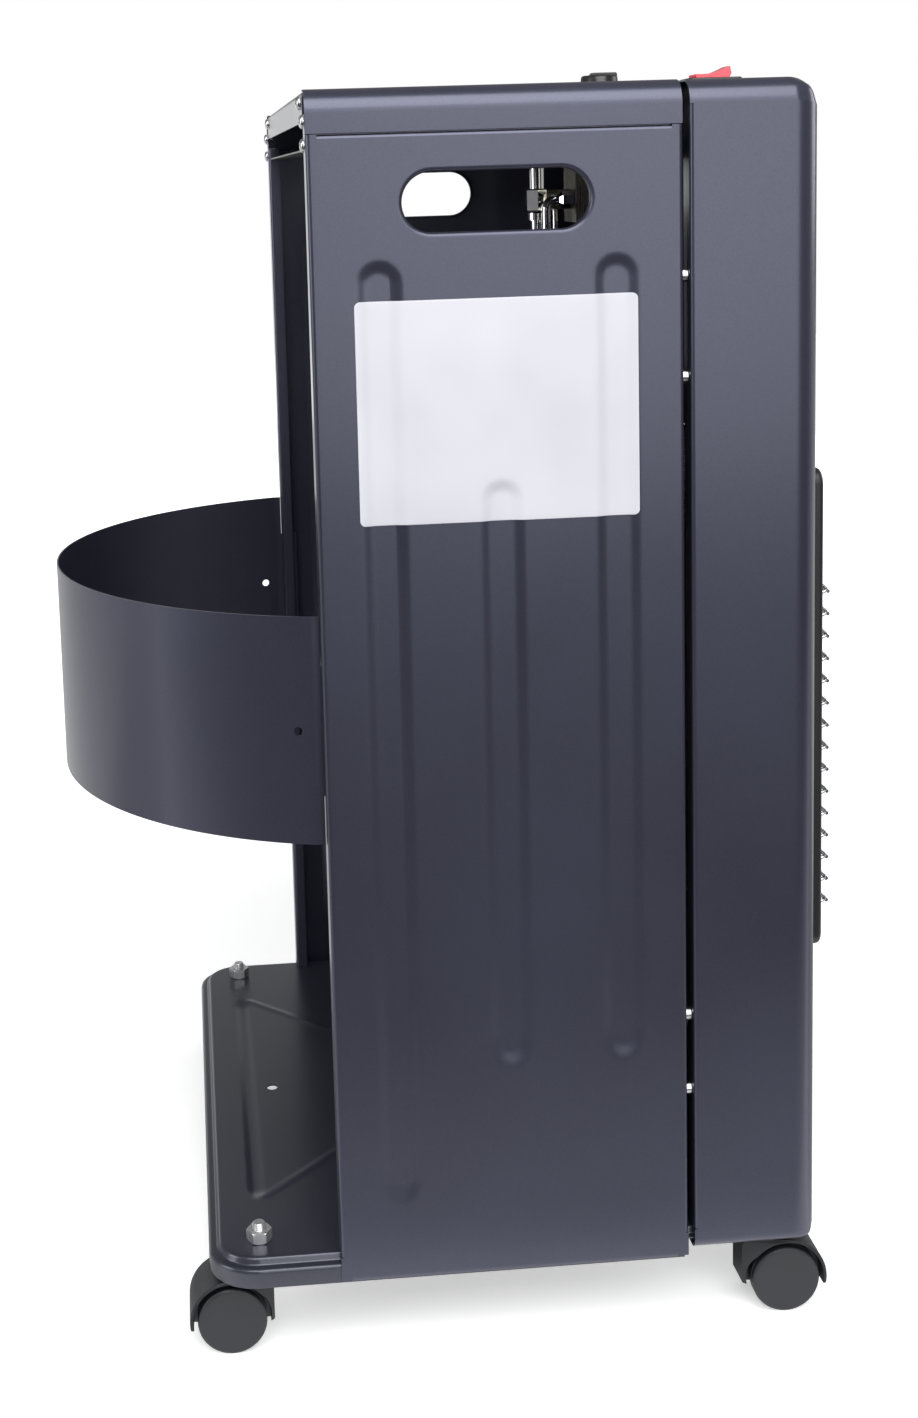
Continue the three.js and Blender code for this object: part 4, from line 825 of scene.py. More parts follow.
def turned(profile, axis="Z", steps=48, centre=(0, 0, 0)):
    """Turns (radius, height) points round an axis; a radius of nought closes the end."""
    bm = bmesh.new()
    a, b, along = axes[axis]
    before = None
    for radius, height in profile:
        ring = []
        for n in range(1 if radius < 1e-6 else steps):
            point = Vector((0, 0, 0))
            point[a] = radius * math.cos(2 * math.pi * n / steps)
            point[b] = radius * math.sin(2 * math.pi * n / steps)
            point[along] = height
            ring.append(bm.verts.new(point + Vector(centre)))
        for n in range(steps if before else 0):
            corners = [before[k % len(before)] for k in (n, n + 1)]
            corners += [ring[k % len(ring)] for k in (n + 1, n)]
            unique = list(dict.fromkeys(corners))
            if len(unique) > 2:
                bm.faces.new(unique)
        before = ring
    return bm


def growth(name, **inputs):
    """A Geometry Nodes tree. Gives it, its inputs and the identifier of each input's socket."""
    tree = bpy.data.node_groups.new(name, "GeometryNodeTree")
    tree.interface.new_socket("Geometry", in_out="INPUT", socket_type="NodeSocketGeometry")
    ids = {}
    for socket, kind in inputs.items():
        made = tree.interface.new_socket(socket.replace("_", " "), in_out="INPUT", socket_type=kind)
        ids[socket] = made.identifier
    tree.interface.new_socket("Geometry", in_out="OUTPUT", socket_type="NodeSocketGeometry")
    return tree, node(tree, "NodeGroupInput").outputs, ids


def end_tree(tree, geometry, material):
    real = node(tree, "GeometryNodeRealizeInstances", {"Geometry": geometry})
    painted = node(tree, "GeometryNodeSetMaterial", {"Geometry": real.outputs[0], "Material": material})
    node(tree, "NodeGroupOutput", {0: painted.outputs[0]})


def grown(name, mesh, tree, ids, **values):
    """Runs a tree over a mesh with its inputs set, and takes the result."""
    carrier = put(name, mesh)
    work = carrier.modifiers.new(name, "NODES")
    work.node_group = tree
    for socket, value in values.items():
        work[ids[socket]] = value
    return taken(carrier)


def scatter(name, shape, places, material):
    """Sets one shape at every given point, each turned by chance about its own axis."""
    sockets = {"Shape": "NodeSocketObject", "Turn": "NodeSocketFloat", "Seed": "NodeSocketInt"}
    tree, given, ids = growth(name, **sockets)
    info = node(tree, "GeometryNodeObjectInfo", {"Object": given["Shape"]})
    chance = {2: 0.0, 3: given["Turn"], "Seed": given["Seed"]}
    spin = node(tree, "FunctionNodeRandomValue", chance, data_type="FLOAT")
    about = node(tree, "ShaderNodeCombineXYZ", {"Y": spin.outputs[1]})
    parts = {"Points": given["Geometry"], "Instance": info.outputs["Geometry"], "Rotation": about.outputs[0]}
    placed = node(tree, "GeometryNodeInstanceOnPoints", parts)
    end_tree(tree, placed.outputs[0], material)
    points = bpy.data.meshes.new(name + "_points")
    points.from_pydata(places, [], [])
    model = bpy.data.objects.new(name + "_shape", shape)
    mesh = grown(name, points, tree, ids, Shape=model, Turn=6.28, Seed=7)
    bpy.data.objects.remove(model)
    return mesh


# ---- Pan head screws ----
# Self-tapping screws with domed heads and a cross recess: six hold the cover's rear flange to the panels.
shank = [(0, -4.5), (1.8, -4.5), (1.8, 0.1)]
dome = [(3.7, 0.1), (3.75, 0.5), (3.5, 1.2), (2.8, 1.85), (1.7, 2.2), (0, 2.3)]
cross = [cutter(box_points((-w, 0.9, -h), (w, 3.0, h)), box_faces) for w, h in ((1.9, 0.42), (0.42, 1.9))]
screw = worked("screw_head", turned(shank + dome, "Y", 24), inside=(0, 0, 0), holes=cross)
screw_spots = ("cover_screw", "upper_corner_screw", "lower_corner_screw")
screw_nodes = [f"{hand}_{spot}" for hand in ("left", "right") for spot in screw_spots]
places = []
for name in screw_nodes:
    low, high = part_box(name)
    places.append(((low.x + high.x) / 2, panel_rear / 1000 + 0.0003, (low.z + high.z) / 2))
mesh = scatter("rear_screws", screw, places, zinc)
fit("rear_pan_screws", mesh, zinc, "zinc_plate", stands_for=screw_nodes)

# ---- Casing spacers ----
# Plated spacer washers on the casing's flanges keep the dark gap between casing and panels.
bm = turned([(0, -1.75), (3.5, -1.75), (3.8, -1.45), (3.8, 1.45), (3.5, 1.75), (0, 1.75)], "Y", 24)
washer = worked("spacer", bm, inside=(0, 0, 0))
places = [
    (hand * 0.2022, (case_rear + 1.85) / 1000, (panel_bottom + height) / 1000)
    for hand in (-1, 1)
    for height in (102, 147, 513, 568)
]
fit("casing_spacers", scatter("casing_spacers", washer, places, zinc), zinc, "zinc_plate")

# ---- Guard bezel and wire guard ----
# A black drawn frame round the window. Behind its lip sit four bent uprights of chromed wire, whose teeth
# carry a level wire each, so that nothing touches the hot plaques.
bezel_half = ((bezel_high.x - bezel_low.x) / 2, (bezel_high.z - bezel_low.z) / 2)
bezel_middle = (bezel_high.z + bezel_low.z) / 2
front_y = bezel_low.y
section = rounded_path([(0, bezel_high.y), (0, front_y, 3.2), (9, front_y, 1.4), (9, front_y + 3.5)], 5)
bezel_rings = [(p.x, max(8 - 0.6 * p.x, 2.0), p.y) for p in section]
tenths = spaced(0, 1, 0.1)
bm = rounded_plate(
    *bezel_half, bezel_rings, tenths, tenths, lambda u, v, y: (u, y, bezel_middle + v), filled=False
)
mesh = worked("bezel", bm, inside=(0, 500, bezel_middle), wall=1.5, eased=0.3)
fit("guard_frame", mesh, black_coat, "black_enamel", stands_for=["guard_bezel"])


def scaled(tree, value, factor):
    return node(tree, "ShaderNodeMath", {0: value, 1: factor}, operation="MULTIPLY").outputs[0]


def at(tree, **sides):
    return node(tree, "ShaderNodeCombineXYZ", sides).outputs[0]


def swept(tree, path, gauge, corners):
    """A round wire along a curve."""
    section = node(tree, "GeometryNodeCurvePrimitiveCircle", {"Resolution": corners, "Radius": gauge})
    parts = {"Curve": path, "Profile Curve": section.outputs[0], "Fill Caps": True}
    return node(tree, "GeometryNodeCurveToMesh", parts).outputs[0]


def row_of(tree, shape, count, start, step):
    line = node(tree, "GeometryNodeMeshLine", {"Count": count, "Start Location": start, "Offset": step})
    parts = {"Points": line.outputs[0], "Instance": shape}
    return node(tree, "GeometryNodeInstanceOnPoints", parts).outputs[0]


def sharpened(mesh, angle):
    mesh.shade_smooth()
    mesh.set_sharp_from_angle(angle=math.radians(angle))
    return mesh


wire, pitch, tooth_rise = 1.1, 13.2, 11.5
grille_low, grille_high = box_mm("guard_grille")
reach = (grille_high.x - grille_low.x) / 2 - wire
apex = grille_high.z - 60 - tooth_rise
teeth = math.floor((grille_high.z - grille_low.z - 60 - tooth_rise) / pitch)
seat_y, tip_y = grille_high.y - wire, grille_low.y + wire
profile = [(0, seat_y, grille_high.z - 2)]
for tooth in range(teeth):
    profile += [(0, seat_y, apex - pitch * tooth + tooth_rise), (0, tip_y, apex - pitch * tooth + wire)]
profile += [(0, seat_y, apex - pitch * teeth + tooth_rise), (0, seat_y, grille_low.z + 2)]
line = bpy.data.meshes.new("guard_line")
line.from_pydata([Vector(p) / 1000 for p in profile], [(n, n + 1) for n in range(len(profile) - 1)], [])
guard_sizes = {
    "Wire": wire,
    "Reach": reach,
    "Tip": tip_y + 0.6,
    "Top_Wire": apex + 0.6,
    "Pitch": pitch,
    "Seat": seat_y - 0.2,
    "Height": grille_high.z - grille_low.z - 6,
    "Base": grille_low.z + 3,
}
tree, given, ids = growth("wire_guard", **dict.fromkeys(guard_sizes, "NodeSocketFloat"))
path = node(tree, "GeometryNodeMeshToCurve", {"Mesh": given["Geometry"]}).outputs[0]
soft = node(tree, "GeometryNodeFilletCurve", {"Curve": path, "Radius": 0.0016, "Count": 3}, mode="POLY")
left_end = at(tree, X=scaled(tree, given["Reach"], -1.0))
level = node(tree, "GeometryNodeCurvePrimitiveLine", {"Start": left_end, "End": at(tree, X=given["Reach"])})
upright = swept(tree, soft.outputs[0], given["Wire"], 10)
rail = swept(tree, level.outputs[0], given["Wire"], 10)
highest, lowest = at(tree, Y=given["Tip"], Z=given["Top Wire"]), at(tree, Y=given["Seat"], Z=given["Base"])
down = at(tree, Z=scaled(tree, given["Pitch"], -1.0))
whole = node(tree, "GeometryNodeJoinGeometry")
for wires in (
    row_of(tree, upright, 4, left_end, at(tree, X=scaled(tree, given["Reach"], 2 / 3))),
    row_of(tree, rail, teeth, highest, down),
    row_of(tree, rail, 2, lowest, at(tree, Z=given["Height"])),
):
    tree.links.new(wires, whole.inputs[0])
end_tree(tree, whole.outputs[0], chrome)
mesh = grown("wire_guard", line, tree, ids, **{name: size / 1000 for name, size in guard_sizes.items()})
fit("wire_guard", sharpened(mesh, 50), chrome, "chrome_wire", stands_for=["guard_grille"])

# ---- Casters ----
# Twin-wheel furniture casters of satin black plastic. The hood is moulded with a web between the wheels,
# and turns on a plated threaded stem, which passes the tray and is held by a hex nut on a collar.
grain, given, where = effect("moulded_grain", "Size", "Cloud")
spark = node(grain, "ShaderNodeTexVoronoi", {"Vector": where, "Scale": given["Size"]}, feature="SMOOTH_F1")
put_out(grain, Grain=spark.outputs["Distance"], Cloud=noise(grain, where, given["Cloud"], 3.0))


def moulded(name, dark, light, roughness, grain_size, depth, **sockets):
    material, surface = finish(name, light, roughness[0], 0.0, **sockets)
    skin = pattern(surface, grain, Size=grain_size, Cloud=40.0)
    tint(surface, skin["Cloud"], dark, light)
    satin(surface, skin["Cloud"], *roughness)
    relief(surface, skin["Grain"], depth, 0.00008)
    return material


caster_black = moulded(
    "caster_plastic", (0.006, 0.007, 0.010), (0.011, 0.012, 0.017), (0.42, 0.54), 1500.0, 0.3
)
wheel_low, wheel_high = box_mm("rear_right_outer_wheel")
stem_low, stem_high = box_mm("rear_right_caster_stem")
wheel_r, web_x = (wheel_high.z - wheel_low.z) / 2, 6.5
wheel_in, wheel_out = (side.x - (stem_low.x + stem_high.x) / 2 for side in (wheel_low, wheel_high))
hood_in, hood_out, trail, skirt = 22.6, 24.6, 17.5, 4.5


def side_form(points, half_x, centre=(0.0, 0.0, 0.0)):
    """A closed (y, z) outline carried across from half_x on one side of the centre to the other."""
    bm = bmesh.new()
    rows = [[bm.verts.new(Vector(centre) + Vector((x, y, z))) for y, z in points] for x in (-half_x, half_x)]
    walls(bm, rows)
    bm.faces.new(rows[0])
    bm.faces.new(rows[1][::-1])
    return bm


def joined(name, *meshes):
    both = bmesh.new()
    for part in meshes:
        both.from_mesh(part)
    mesh = bpy.data.meshes.new(name)
    both.to_mesh(mesh)
    both.free()
    return mesh


def arc(radius, start, end, steps):
    """Points round the wheels' axle."""
    turns = spaced(start, end, (end - start) / steps)
    return [(trail + radius * math.cos(a), wheel_r + radius * math.sin(a)) for a in turns]


def caster_hood():
    """A fender over both wheels, narrower at the stem, and the web between the wheels."""
    dip, inner_dip = math.asin(skirt / hood_out), math.asin(skirt / hood_in)
    back, top = trail - hood_out, wheel_r + hood_out
    fender = arc(hood_out, -dip, math.pi / 2, 20)
    fender += [(back + 5.0, top), (back + 1.4, top - 1.4), (back, top - 5.0), (back, wheel_r - skirt)]
    fender += arc(hood_in, math.pi + inner_dip, -inner_dip, 30)
    bm = side_form(fender, wheel_out - 0.6)
    for corner in bm.verts:
        corner.co.x *= 1 - 0.4 * min(max((trail - 17 - corner.co.y) / 7.6, 0.0), 1.0)
    shell = worked("hood", bm, eased=0.7, ease_steps=3, angle=35)
    bm = side_form([*arc(hood_in + 1, -inner_dip, math.pi + inner_dip, 24), (trail, wheel_r - 7)], web_x)
    return sharpened(joined("caster_hood", shell, worked("web", bm, eased=0.6, angle=35)), 40)


def caster_wheel(side):
    """A disc with a dished face, a grooved tread and a recessed back."""
    path = [(r, wheel_out - x) for r, x in ((0, 0.55), (3, 0.52), (9, 0.35), (14, 0.1), (16.9, 0))]
    path += [(wheel_r - 1.8 * (1 - math.sin(a)), wheel_out - 1.8 * (1 - math.cos(a))) for a in quarter(5)]
    path += [(wheel_r - deep, wheel_in + x) for deep, x in ((0, 5.2), (0.35, 5), (0.35, 4.6), (0, 4.4))]
    path += [(wheel_r - 1.5 * (1 - math.cos(a)), wheel_in + 1.5 * (1 - math.sin(a))) for a in quarter(4)]
    path += [(r, wheel_in + x) for r, x in ((15.5, 0), (15, 2.5), (5.5, 2.5), (5, 0), (2.8, 0))]
    path += [(2.8, wheel_out - 2.7), (0, wheel_out - 2.7)]
    bm = turned([(r, side * x) for r, x in path], "X", 64, (0, trail, wheel_r))
    return worked("wheel", bm, angle=32)


hood_mesh, wheel_meshes = caster_hood(), {side: caster_wheel(side) for side in (-1, 1)}
low, high = box_mm("rear_left_caster_stem")
nut_low, nut_high = box_mm("rear_left_caster_nut")
seat, nut_top, thread_top = nut_low.z, nut_high.z, high.z
collar_low, collar_high = wheel_r + hood_out + 0.3, seat - 1.6
stem_path = [(0, low.z), (4.6, low.z), (4.6, collar_low), (8.2, collar_low), (9, collar_low + 0.8)]
stem_path += [(9, collar_high - 0.8), (8.2, collar_high), (4.0, collar_high), (4.0, nut_top - 0.5)]
turn_z, thread_pitch = nut_top - 0.5, 1.25
while turn_z + thread_pitch < thread_top - 0.4:
    stem_path += [(r, turn_z + z) for r, z in ((4.0, 0.3), (4.0, 0.45), (3.45, 0.95), (3.45, 1.05))]
    turn_z += thread_pitch
stem_path += [(3.6, thread_top - 0.5), (3.1, thread_top), (0, thread_top)]
stem_mesh = worked("stem", turned(stem_path, "Z", 32), angle=28)


def hex_nut():
    """Hex body, its corners chamfered at both ends, with a countersunk bore."""
    flat, across_corners, steps = 6.5, 7.55, 48
    levels = [(seat, 4.05, 4.05), (seat, 4.5, 4.5), (seat, 0, 6.7), (seat + 0.5, 0, across_corners)]
    levels += [(nut_top - 0.4, 0, across_corners), (nut_top, 0, 7.0), (nut_top, 4.6, 4.6)]
    levels += [(nut_top - 0.6, 4.05, 4.05)]
    bm = bmesh.new()
    rows = []
    for z, least, most in levels:
        rows.append([])
        for n in range(steps):
            a = 2 * math.pi * n / steps
            r = max(min(flat / math.cos((a + math.pi / 6) % (math.pi / 3) - math.pi / 6), most), least)
            rows[-1].append(bm.verts.new((r * math.cos(a), r * math.sin(a), z)))
    walls(bm, rows + rows[:1])
    return worked("nut", bm, angle=25)


def dress(material, *names):
    """Gives a material to pieces that keep the model's own shape."""
    for name in names:
        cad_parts[name].material_slots[0].material = material


nut_mesh = hex_nut()
dull_zinc = plated("dull_zinc_plate", (0.56, 0.56, 0.57), (0.76, 0.76, 0.77), (0.26, 0.40), metallic=0.86)
for corner in ("rear_left", "rear_right", "front_left", "front_right"):
    low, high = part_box(corner + "_caster_stem")
    hood_low, hood_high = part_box(corner + "_caster_hood")
    trails_back = hood_low.y + hood_high.y > low.y + high.y
    turn = Matrix.Rotation(0.0 if trails_back else math.pi, 4, "Z")
    place = Matrix.Translation(((low.x + high.x) / 2, (low.y + high.y) / 2, 0)) @ turn
    outer = (-1 if "left" in corner else 1) * (1 if trails_back else -1)
    for name, source, body, stands_for in (
        ("hood", hood_mesh, corner + "_caster", "caster_hood"),
        ("outer_disc", wheel_meshes[outer], corner + "_outer_wheel", "outer_wheel"),
        ("inner_disc", wheel_meshes[-outer], corner + "_inner_wheel", "inner_wheel"),
        ("stem", stem_mesh, "cabinet", "caster_stem"),
        ("hex_nut", nut_mesh, "cabinet", "caster_nut"),
    ):
        mesh = source.copy()
        mesh.transform(place)
        look = (dull_zinc, "zinc_plate") if body == "cabinet" else (caster_black, "caster_plastic")
        fit(f"{corner}_{name}", mesh, *look, body, [f"{corner}_{stands_for}"])
    dress(zinc, corner + "_caster_axle")

# ---- Gas valve, knob and pipes ----
# A cast brass-nickel valve hangs under the deck. Hex flare nuts hold the chromed burner pipe and the inlet
# tee, whose ribbed nozzle takes the hose. The knob is a black moulding that slides on the valve's spindle.
knob_black = moulded("knob_plastic", (0.008, 0.008, 0.009), (0.014, 0.014, 0.016), (0.28, 0.4), 1800.0, 0.15)
knob_low, knob_high = box_mm("control_knob")
crown = knob_high.z - 2
dial = [(0, 0), (19.2, 0), (19.9, 0.4), (20, 3.2), (19.6, 4.4), (18.4, 5.0), (15.2, 5.3), (13.7, 6.4)]
dial.append((13.1, 8.2))
knob_path = [(r, knob_low.z + z) for r, z in dial]
knob_path += [(r, crown - z) for r, z in ((12.7, 1.4), (12.2, 0.5), (11.3, 0), (0, 0))]
round_part = worked("knob", turned(knob_path, "Z", 72, (knob_x, knob_y, 0)))
grip = [(-12.3, -1.5), (-12.3, 1.2), (-11.3, 2), (5.5, 2), (6.5, 1.2), (6.5, -1.5)]
fin = side_form(grip, 3.0, (knob_x, knob_y, crown))
mesh = joined("knob", round_part, worked("fin", fin, eased=0.6, ease_steps=3, angle=30))
fit("gas_knob", sharpened(mesh, 40), knob_black, "black_plastic", "knob", ["control_knob"])
brass = plated("nickelled_brass", (0.36, 0.33, 0.26), (0.58, 0.54, 0.44), (0.22, 0.4), 1200.0)
dress(brass, "gas_valve", "pilot_burner")
dress(zinc, "valve_spindle")


def bent_pipe(name, corners, radius, turn):
    """A drawn tube through corner points, with round bends, in metres."""
    points = [Vector(corners[0])]
    for before, corner, after in zip(corners, corners[1:], corners[2:]):
        corner = Vector(corner)
        start, end = (corner + (Vector(point) - corner).normalized() * turn for point in (before, after))
        points += corner_arc(start, corner, end, 8)
    points.append(Vector(corners[-1]))
    curve = bpy.data.curves.new(name, "CURVE")
    curve.dimensions = "3D"
    curve.bevel_depth = radius / 1000
    curve.bevel_resolution = 4
    curve.use_fill_caps = True
    spline = curve.splines.new("POLY")
    spline.points.add(len(points) - 1)
    for knot, point in zip(spline.points, points):
        knot.co = (*(point / 1000), 1.0)
    return sharpened(taken(put(name, curve)), 50)


def flare_nut(centre, axis):
    size, length = 6.0, 9.0
    path = [(0, 0), (size * 0.86, 0), (size, 0.7), (size, length - 0.7), (size * 0.86, length)]
    path += [(size * 0.62, length + 1.6), (0, length + 1.6)]
    return worked("flare_nut", turned(path, axis, 6, centre), angle=30)


valve_low, _ = box_mm("gas_valve")
burner_low, burner_high = box_mm("burner_body")
valve_rear, outlet_z = knob_y + 22, valve_low.z + 16
port_y = valve_rear + 0.3
pipe_x, pipe_back = knob_x - 14, valve_rear + 20
pipe_mid, landing = (burner_low.y + burner_high.y) / 2, burner_high.z + 0.3
way = [(port_y, outlet_z), (pipe_back, outlet_z), (pipe_back, landing + 30), (pipe_mid, landing + 30)]
burner_tube = bent_pipe("burner_tube", [(pipe_x, y, z) for y, z in (*way, (pipe_mid, landing))], 3.0, 7.0)
nuts = [flare_nut((pipe_x, port_y, outlet_z), "Y"), flare_nut((pipe_x, pipe_mid, landing), "Z")]
mesh = joined("burner_tube", burner_tube, *nuts)
fit("burner_tube", mesh, chrome, "chrome_wire", stands_for=["burner_pipe"])

tee_y = port_y + 24
inlet_low, inlet_high = box_mm("inlet_pipe")
nozzle = [(0, inlet_low.z), (3, inlet_low.z)]
for rib in range(5):
    z = inlet_low.z + 2 + 4 * rib
    nozzle += [(4.0, z), (5.0, z + 2.4), (4.0, z + 3.0)]
nozzle += [(r, outlet_z + z) for r, z in ((4.0, -14), (6.2, -14), (6.2, -9), (4.2, -8), (4.0, 9))]
nozzle += [(4.0, inlet_high.z), (0, inlet_high.z)]
stem_pipe = worked("inlet", turned(nozzle, "Z", 32, (knob_x, tee_y, 0)), angle=30)
hub = [(0, -8), (7.0, -8), (8, -7), (8, 7), (7.0, 8), (0, 8)]
hub_part = worked("tee", turned(hub, "Z", 6, (knob_x, tee_y, outlet_z)), angle=30)
fit("inlet_tee", joined("inlet_tee", stem_pipe, hub_part), chrome, "chrome_wire", stands_for=["inlet_pipe"])

pilot_low, pilot_high = box_mm("pilot_burner")
pilot_x, _, pilot_z = (pilot_low + pilot_high) / 2
feed_x, feed_y, cross_z = knob_x + 14, valve_rear + 8, burner_high.z + 16
way = [(feed_x, port_y, outlet_z), (feed_x, feed_y, outlet_z), (feed_x, feed_y, cross_z)]
way += [(pilot_x, feed_y, cross_z), (pilot_x, feed_y, pilot_z), (pilot_x, pilot_high.y + 0.3, pilot_z)]
fit("pilot_tube", bent_pipe("pilot_tube", way, 2.0, 6.5), chrome, "chrome_wire", stands_for=["pilot_pipe"])

# ---- Rocker switch ----
# A black snap-in housing in the deck and a translucent red rocker, dished along its length. The rocker's
# faint red glow is painted light, standing in for light through its plastic.
rim_top = housing_high.z
rim_path = rounded_path([(0, rim_top - 1.8), (0, rim_top, 0.9), (2.4, rim_top, 0.5), (2.4, rim_top - 9)])
rim_rings = [(p.x, 2.4 - 0.6 * min(p.x, 2.4), p.y) for p in rim_path]
rim_rings += [(3.4, 0.4, rim_top - 9), (8, 0.1, rim_top - 9)]
bm = rounded_plate(
    11, 15, rim_rings, [0.0, 1.0], [0.0, 1.0], lambda u, v, z: (switch_x + u, switch_y + v, z)
)
rim_mesh = worked("switch_frame", bm, inside=(switch_x, switch_y, 0))
bm = bmesh.new()
outline = [(switch_x + s * 8.7, switch_y + t * 13) for s, t in ((-1, -1), (1, -1), (1, 1), (-1, 1))]
rows = [[bm.verts.new((x, y, z)) for x, y in outline] for z in (housing_low.z, rim_top - 2.2)]
walls(bm, rows)
bm.faces.new(rows[0][::-1])
shell = worked("switch_body", bm, inside=(switch_x, switch_y, rim_top - 10), angle=30)
mesh = joined("switch", rim_mesh, shell)
fit("switch_frame", mesh, knob_black, "black_plastic", stands_for=["switch_housing"])

rocker_red = moulded(
    "rocker_plastic",
    (0.62, 0.012, 0.035),
    (0.80, 0.030, 0.070),
    (0.08, 0.16),
    1800.0,
    0.03,
    Transmission_Weight=0.25,
    Coat_Weight=0.6,
    Coat_Roughness=0.05,
    # Painted glow: the rocker shines faintly red of its own, standing in for light through the plastic.
    Emission_Color=(1.0, 0.05, 0.09, 1.0),
    Emission_Strength=0.25,
)
tilt = Matrix.Translation((switch_x, switch_y, rim_top)) @ Matrix.Rotation(math.radians(-12), 4, "X")
form = [(-10, 3.9), (-9.6, 4.2)]
form += [(y, 2.6 + 1.6 * (abs(y) / 9.6) ** 1.6) for y in spaced(-8.5, 8.5, 1.7)]
form += [(9.6, 4.2), (10, 3.9), (10, 0.2), (9.7, -0.4), (3.6, -6.6), (-3.6, -6.6), (-9.7, -0.4), (-10, 0.2)]
bm = side_form(form, 7.2)
bmesh.ops.transform(bm, matrix=tilt, verts=bm.verts)
rocker = worked("rocker", bm, eased=0.35, ease_steps=3, angle=35)
fit("red_rocker", rocker, rocker_red, "red_plastic", "rocker", ["switch_rocker"])

# ---- Radiant burner ----
# Three perforated ceramic plaques in a cast box, in a bright reflector with a sloping top. Below them run
# two quartz heating tubes, each round a wound wire, held in ceramic end blocks.
clay, given, where = effect("fired_clay", "Speck", "Stain")
put_out(clay, Speck=noise(clay, where, given["Speck"], 4.0), Stain=noise(clay, where, given["Stain"], 3.0))


def fired(name, dark, light, roughness):
    material, surface = finish(name, light, roughness)
    body = pattern(surface, clay, Speck=700.0, Stain=22.0)
    tint(surface, body["Stain"], dark, light)
    relief(surface, body["Speck"], 0.5, 0.0001)
    return material


plaque_clay = fired("plaque_ceramic", (0.52, 0.43, 0.30), (0.70, 0.61, 0.46), 0.85)
white_clay = fired("white_ceramic", (0.66, 0.64, 0.58), (0.82, 0.80, 0.75), 0.6)
tree, given, ids = growth("plaque_perforation", Hole_Share="NodeSocketFloat", Depth="NodeSocketFloat")
picked = node(tree, "GeometryNodeInputNamedAttribute", {"Name": "drilled"}, data_type="BOOLEAN")
parts = {"Mesh": given["Geometry"], "Selection": picked.outputs["Attribute"]}
rim = node(tree, "GeometryNodeExtrudeMesh", {**parts, "Offset Scale": 0.0, "Individual": True}).outputs
parts = {"Geometry": rim["Mesh"], "Selection": rim["Top"], "Scale": given["Hole Share"]}
small = node(tree, "GeometryNodeScaleElements", parts).outputs[0]
sink = scaled(tree, given["Depth"], -1.0)
parts = {"Mesh": small, "Selection": rim["Top"], "Offset Scale": sink, "Individual": True}
end_tree(tree, node(tree, "GeometryNodeExtrudeMesh", parts).outputs["Mesh"], plaque_clay)
border, hole_pitch = 0.003, 0.0028
for spot in ("left", "middle", "right"):
    name = spot + "_burner_plaque"
    low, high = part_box(name)
    xs, zs = (spaced(low[n] + border, high[n] - border, hole_pitch) for n in (0, 2))
    bm = bmesh.new()
    sheet(bm, [[bm.verts.new((x, low.y, z)) for z in zs] for x in xs])
    drilled = len(bm.faces)
    edges = run(bm, free_edges(bm, lambda p: True), (0, 0, 0))
    for corner in {v for edge in edges for v in edge.verts}:
        for n, lines in ((0, xs), (2, zs)):
            for line, side in ((lines[0], low), (lines[-1], high)):
                if abs(corner.co[n] - line) < 0.00001:
                    corner.co[n] = side[n]
    run(bm, edges, (0, high.y - low.y, 0))
    bmesh.ops.holes_fill(bm, edges=free_edges(bm, lambda p: True))
    bmesh.ops.recalc_face_normals(bm, faces=bm.faces)
    mesh = bpy.data.meshes.new(name)
    bm.to_mesh(mesh)
    bm.free()
    marks = mesh.attributes.new("drilled", "BOOLEAN", "FACE")
    marks.data.foreach_set("value", [n < drilled for n in range(len(mesh.polygons))])
    mesh = grown(name, mesh, tree, ids, Hole_Share=0.52, Depth=0.0035)
    fit(spot + "_perforated_plaque", mesh, plaque_clay, "burner_ceramic", stands_for=[name])

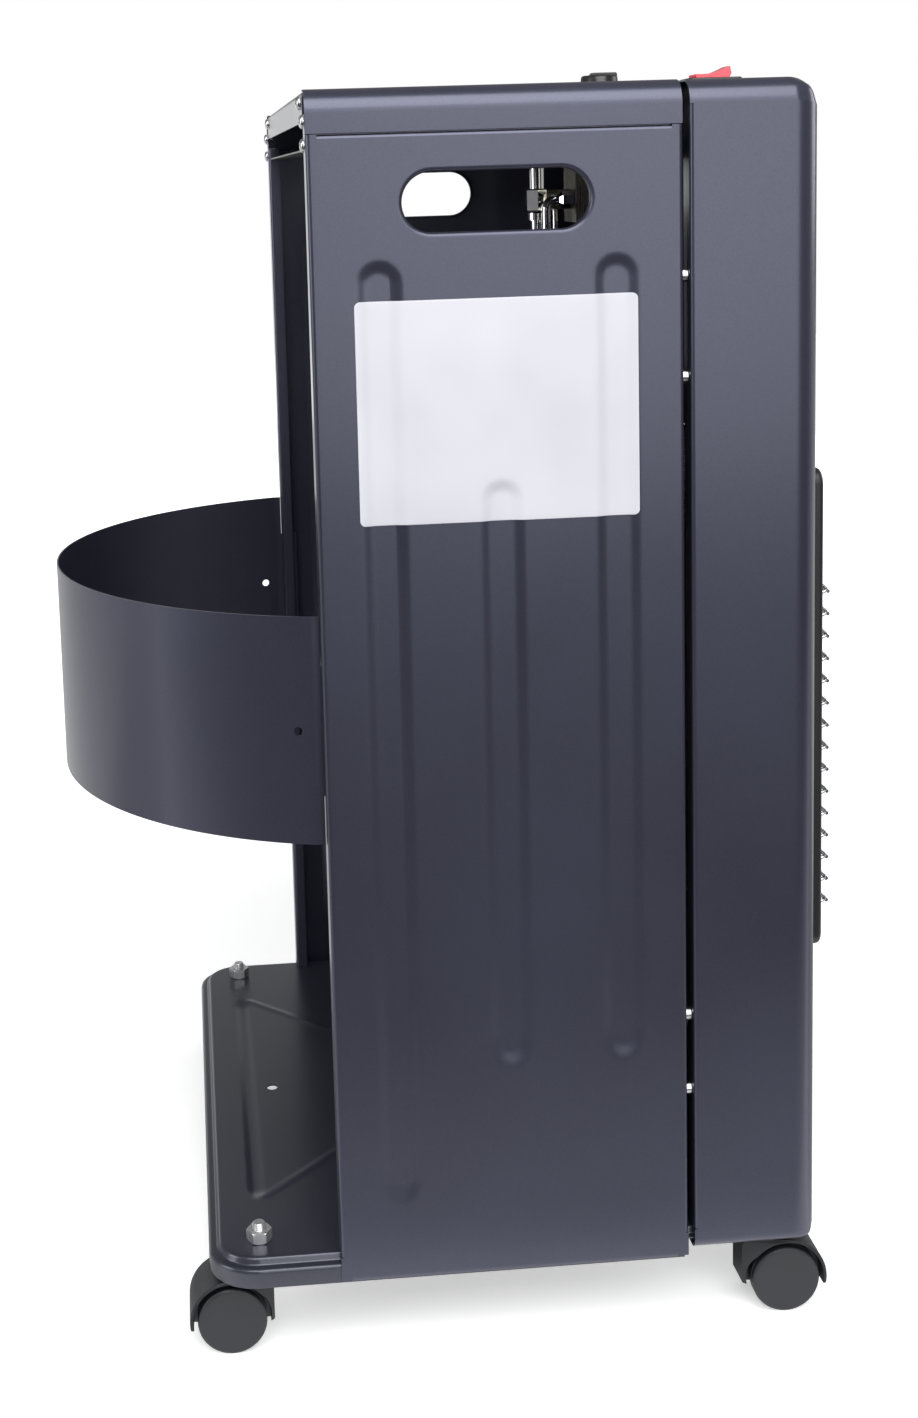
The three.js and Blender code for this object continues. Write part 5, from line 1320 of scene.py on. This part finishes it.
quartz, surface = finish("frosted_quartz", (0.90, 0.91, 0.93), 0.12, Transmission_Weight=0.85, IOR=1.46)
satin(surface, pattern(surface, clay, Speck=300.0, Stain=40.0)["Stain"], 0.08, 0.26)
element_wire = plated("element_wire", (0.20, 0.19, 0.18), (0.34, 0.32, 0.30), (0.4, 0.6))
tree, given, ids = growth("element_coil", Turns="NodeSocketFloat", Length="NodeSocketFloat")
sizes = {"Resolution": 14, "Rotations": given["Turns"], "Height": given["Length"]}
winding = node(tree, "GeometryNodeCurveSpiral", {**sizes, "Start Radius": 0.0026, "End Radius": 0.0026})
end_tree(tree, swept(tree, winding.outputs[0], 0.00045, 6), element_wire)
for level in ("lower", "upper"):
    low, high = box_mm(level + "_quartz_tube")
    middle = (0, (low.y + high.y) / 2, (low.z + high.z) / 2)
    outside = [(3.9, low.x), (4.6, low.x), (5, low.x + 0.4), (5, high.x - 0.4), (4.6, high.x), (3.9, high.x)]
    mesh = worked("quartz", turned([*outside, (3.9, low.x)], "X", 32, middle))
    fit(level + "_quartz_sleeve", mesh, quartz, "quartz_glass", stands_for=[level + "_quartz_tube"])
    coil_half = (high.x - 12) / 1000
    empty = bpy.data.meshes.new("coil")
    mesh = grown("coil", empty, tree, ids, Turns=110.0, Length=2 * coil_half)
    centre = Matrix.Translation((-coil_half, middle[1] / 1000, middle[2] / 1000))
    mesh.transform(centre @ Matrix.Rotation(math.pi / 2, 4, "Y"))
    mesh.shade_smooth()
    fit(level + "_element_coil", mesh, element_wire, "zinc_plate")

dress(plated("annealed_steel", (0.50, 0.50, 0.50), (0.66, 0.66, 0.65), (0.18, 0.3), 500.0), "reflector")
cast_alloy, surface = finish("cast_alloy", (0.38, 0.38, 0.39), 0.5, 0.9)
sand = pattern(surface, clay, Speck=500.0, Stain=18.0)
tint(surface, sand["Stain"], (0.28, 0.28, 0.29), (0.44, 0.44, 0.45))
relief(surface, sand["Speck"], 0.6, 0.0002)
dress(cast_alloy, "burner_body")
dress(white_clay, "left_tube_holder", "right_tube_holder", "spark_electrode")

# ---- Heat shield, top baffle and cable gland ----
# A galvanised sheet with its spangle parts the burner from the bottle. A black baffle lies under the cover,
# and the mains lead leaves through a black gland.
spangle, given, where = effect("zinc_spangle", "Crystal")
put_out(spangle, Crystal=cells(spangle, where, given["Crystal"]), Grit=noise(spangle, where, 800.0, 2.0))
galvanised, surface = finish("galvanised_sheet", (0.42, 0.42, 0.42), 0.4, 0.95)
bloom = pattern(surface, spangle, Crystal=150.0)
tint(surface, bloom["Crystal"], (0.37, 0.37, 0.38), (0.44, 0.44, 0.45), 0.1, 0.9)
satin(surface, bloom["Crystal"], 0.36, 0.46)
relief(surface, bloom["Grit"], 0.2, 0.00004)
dress(galvanised, "heat_shield")
dress(black_coat, "top_baffle")
dress(knob_black, "cable_gland")
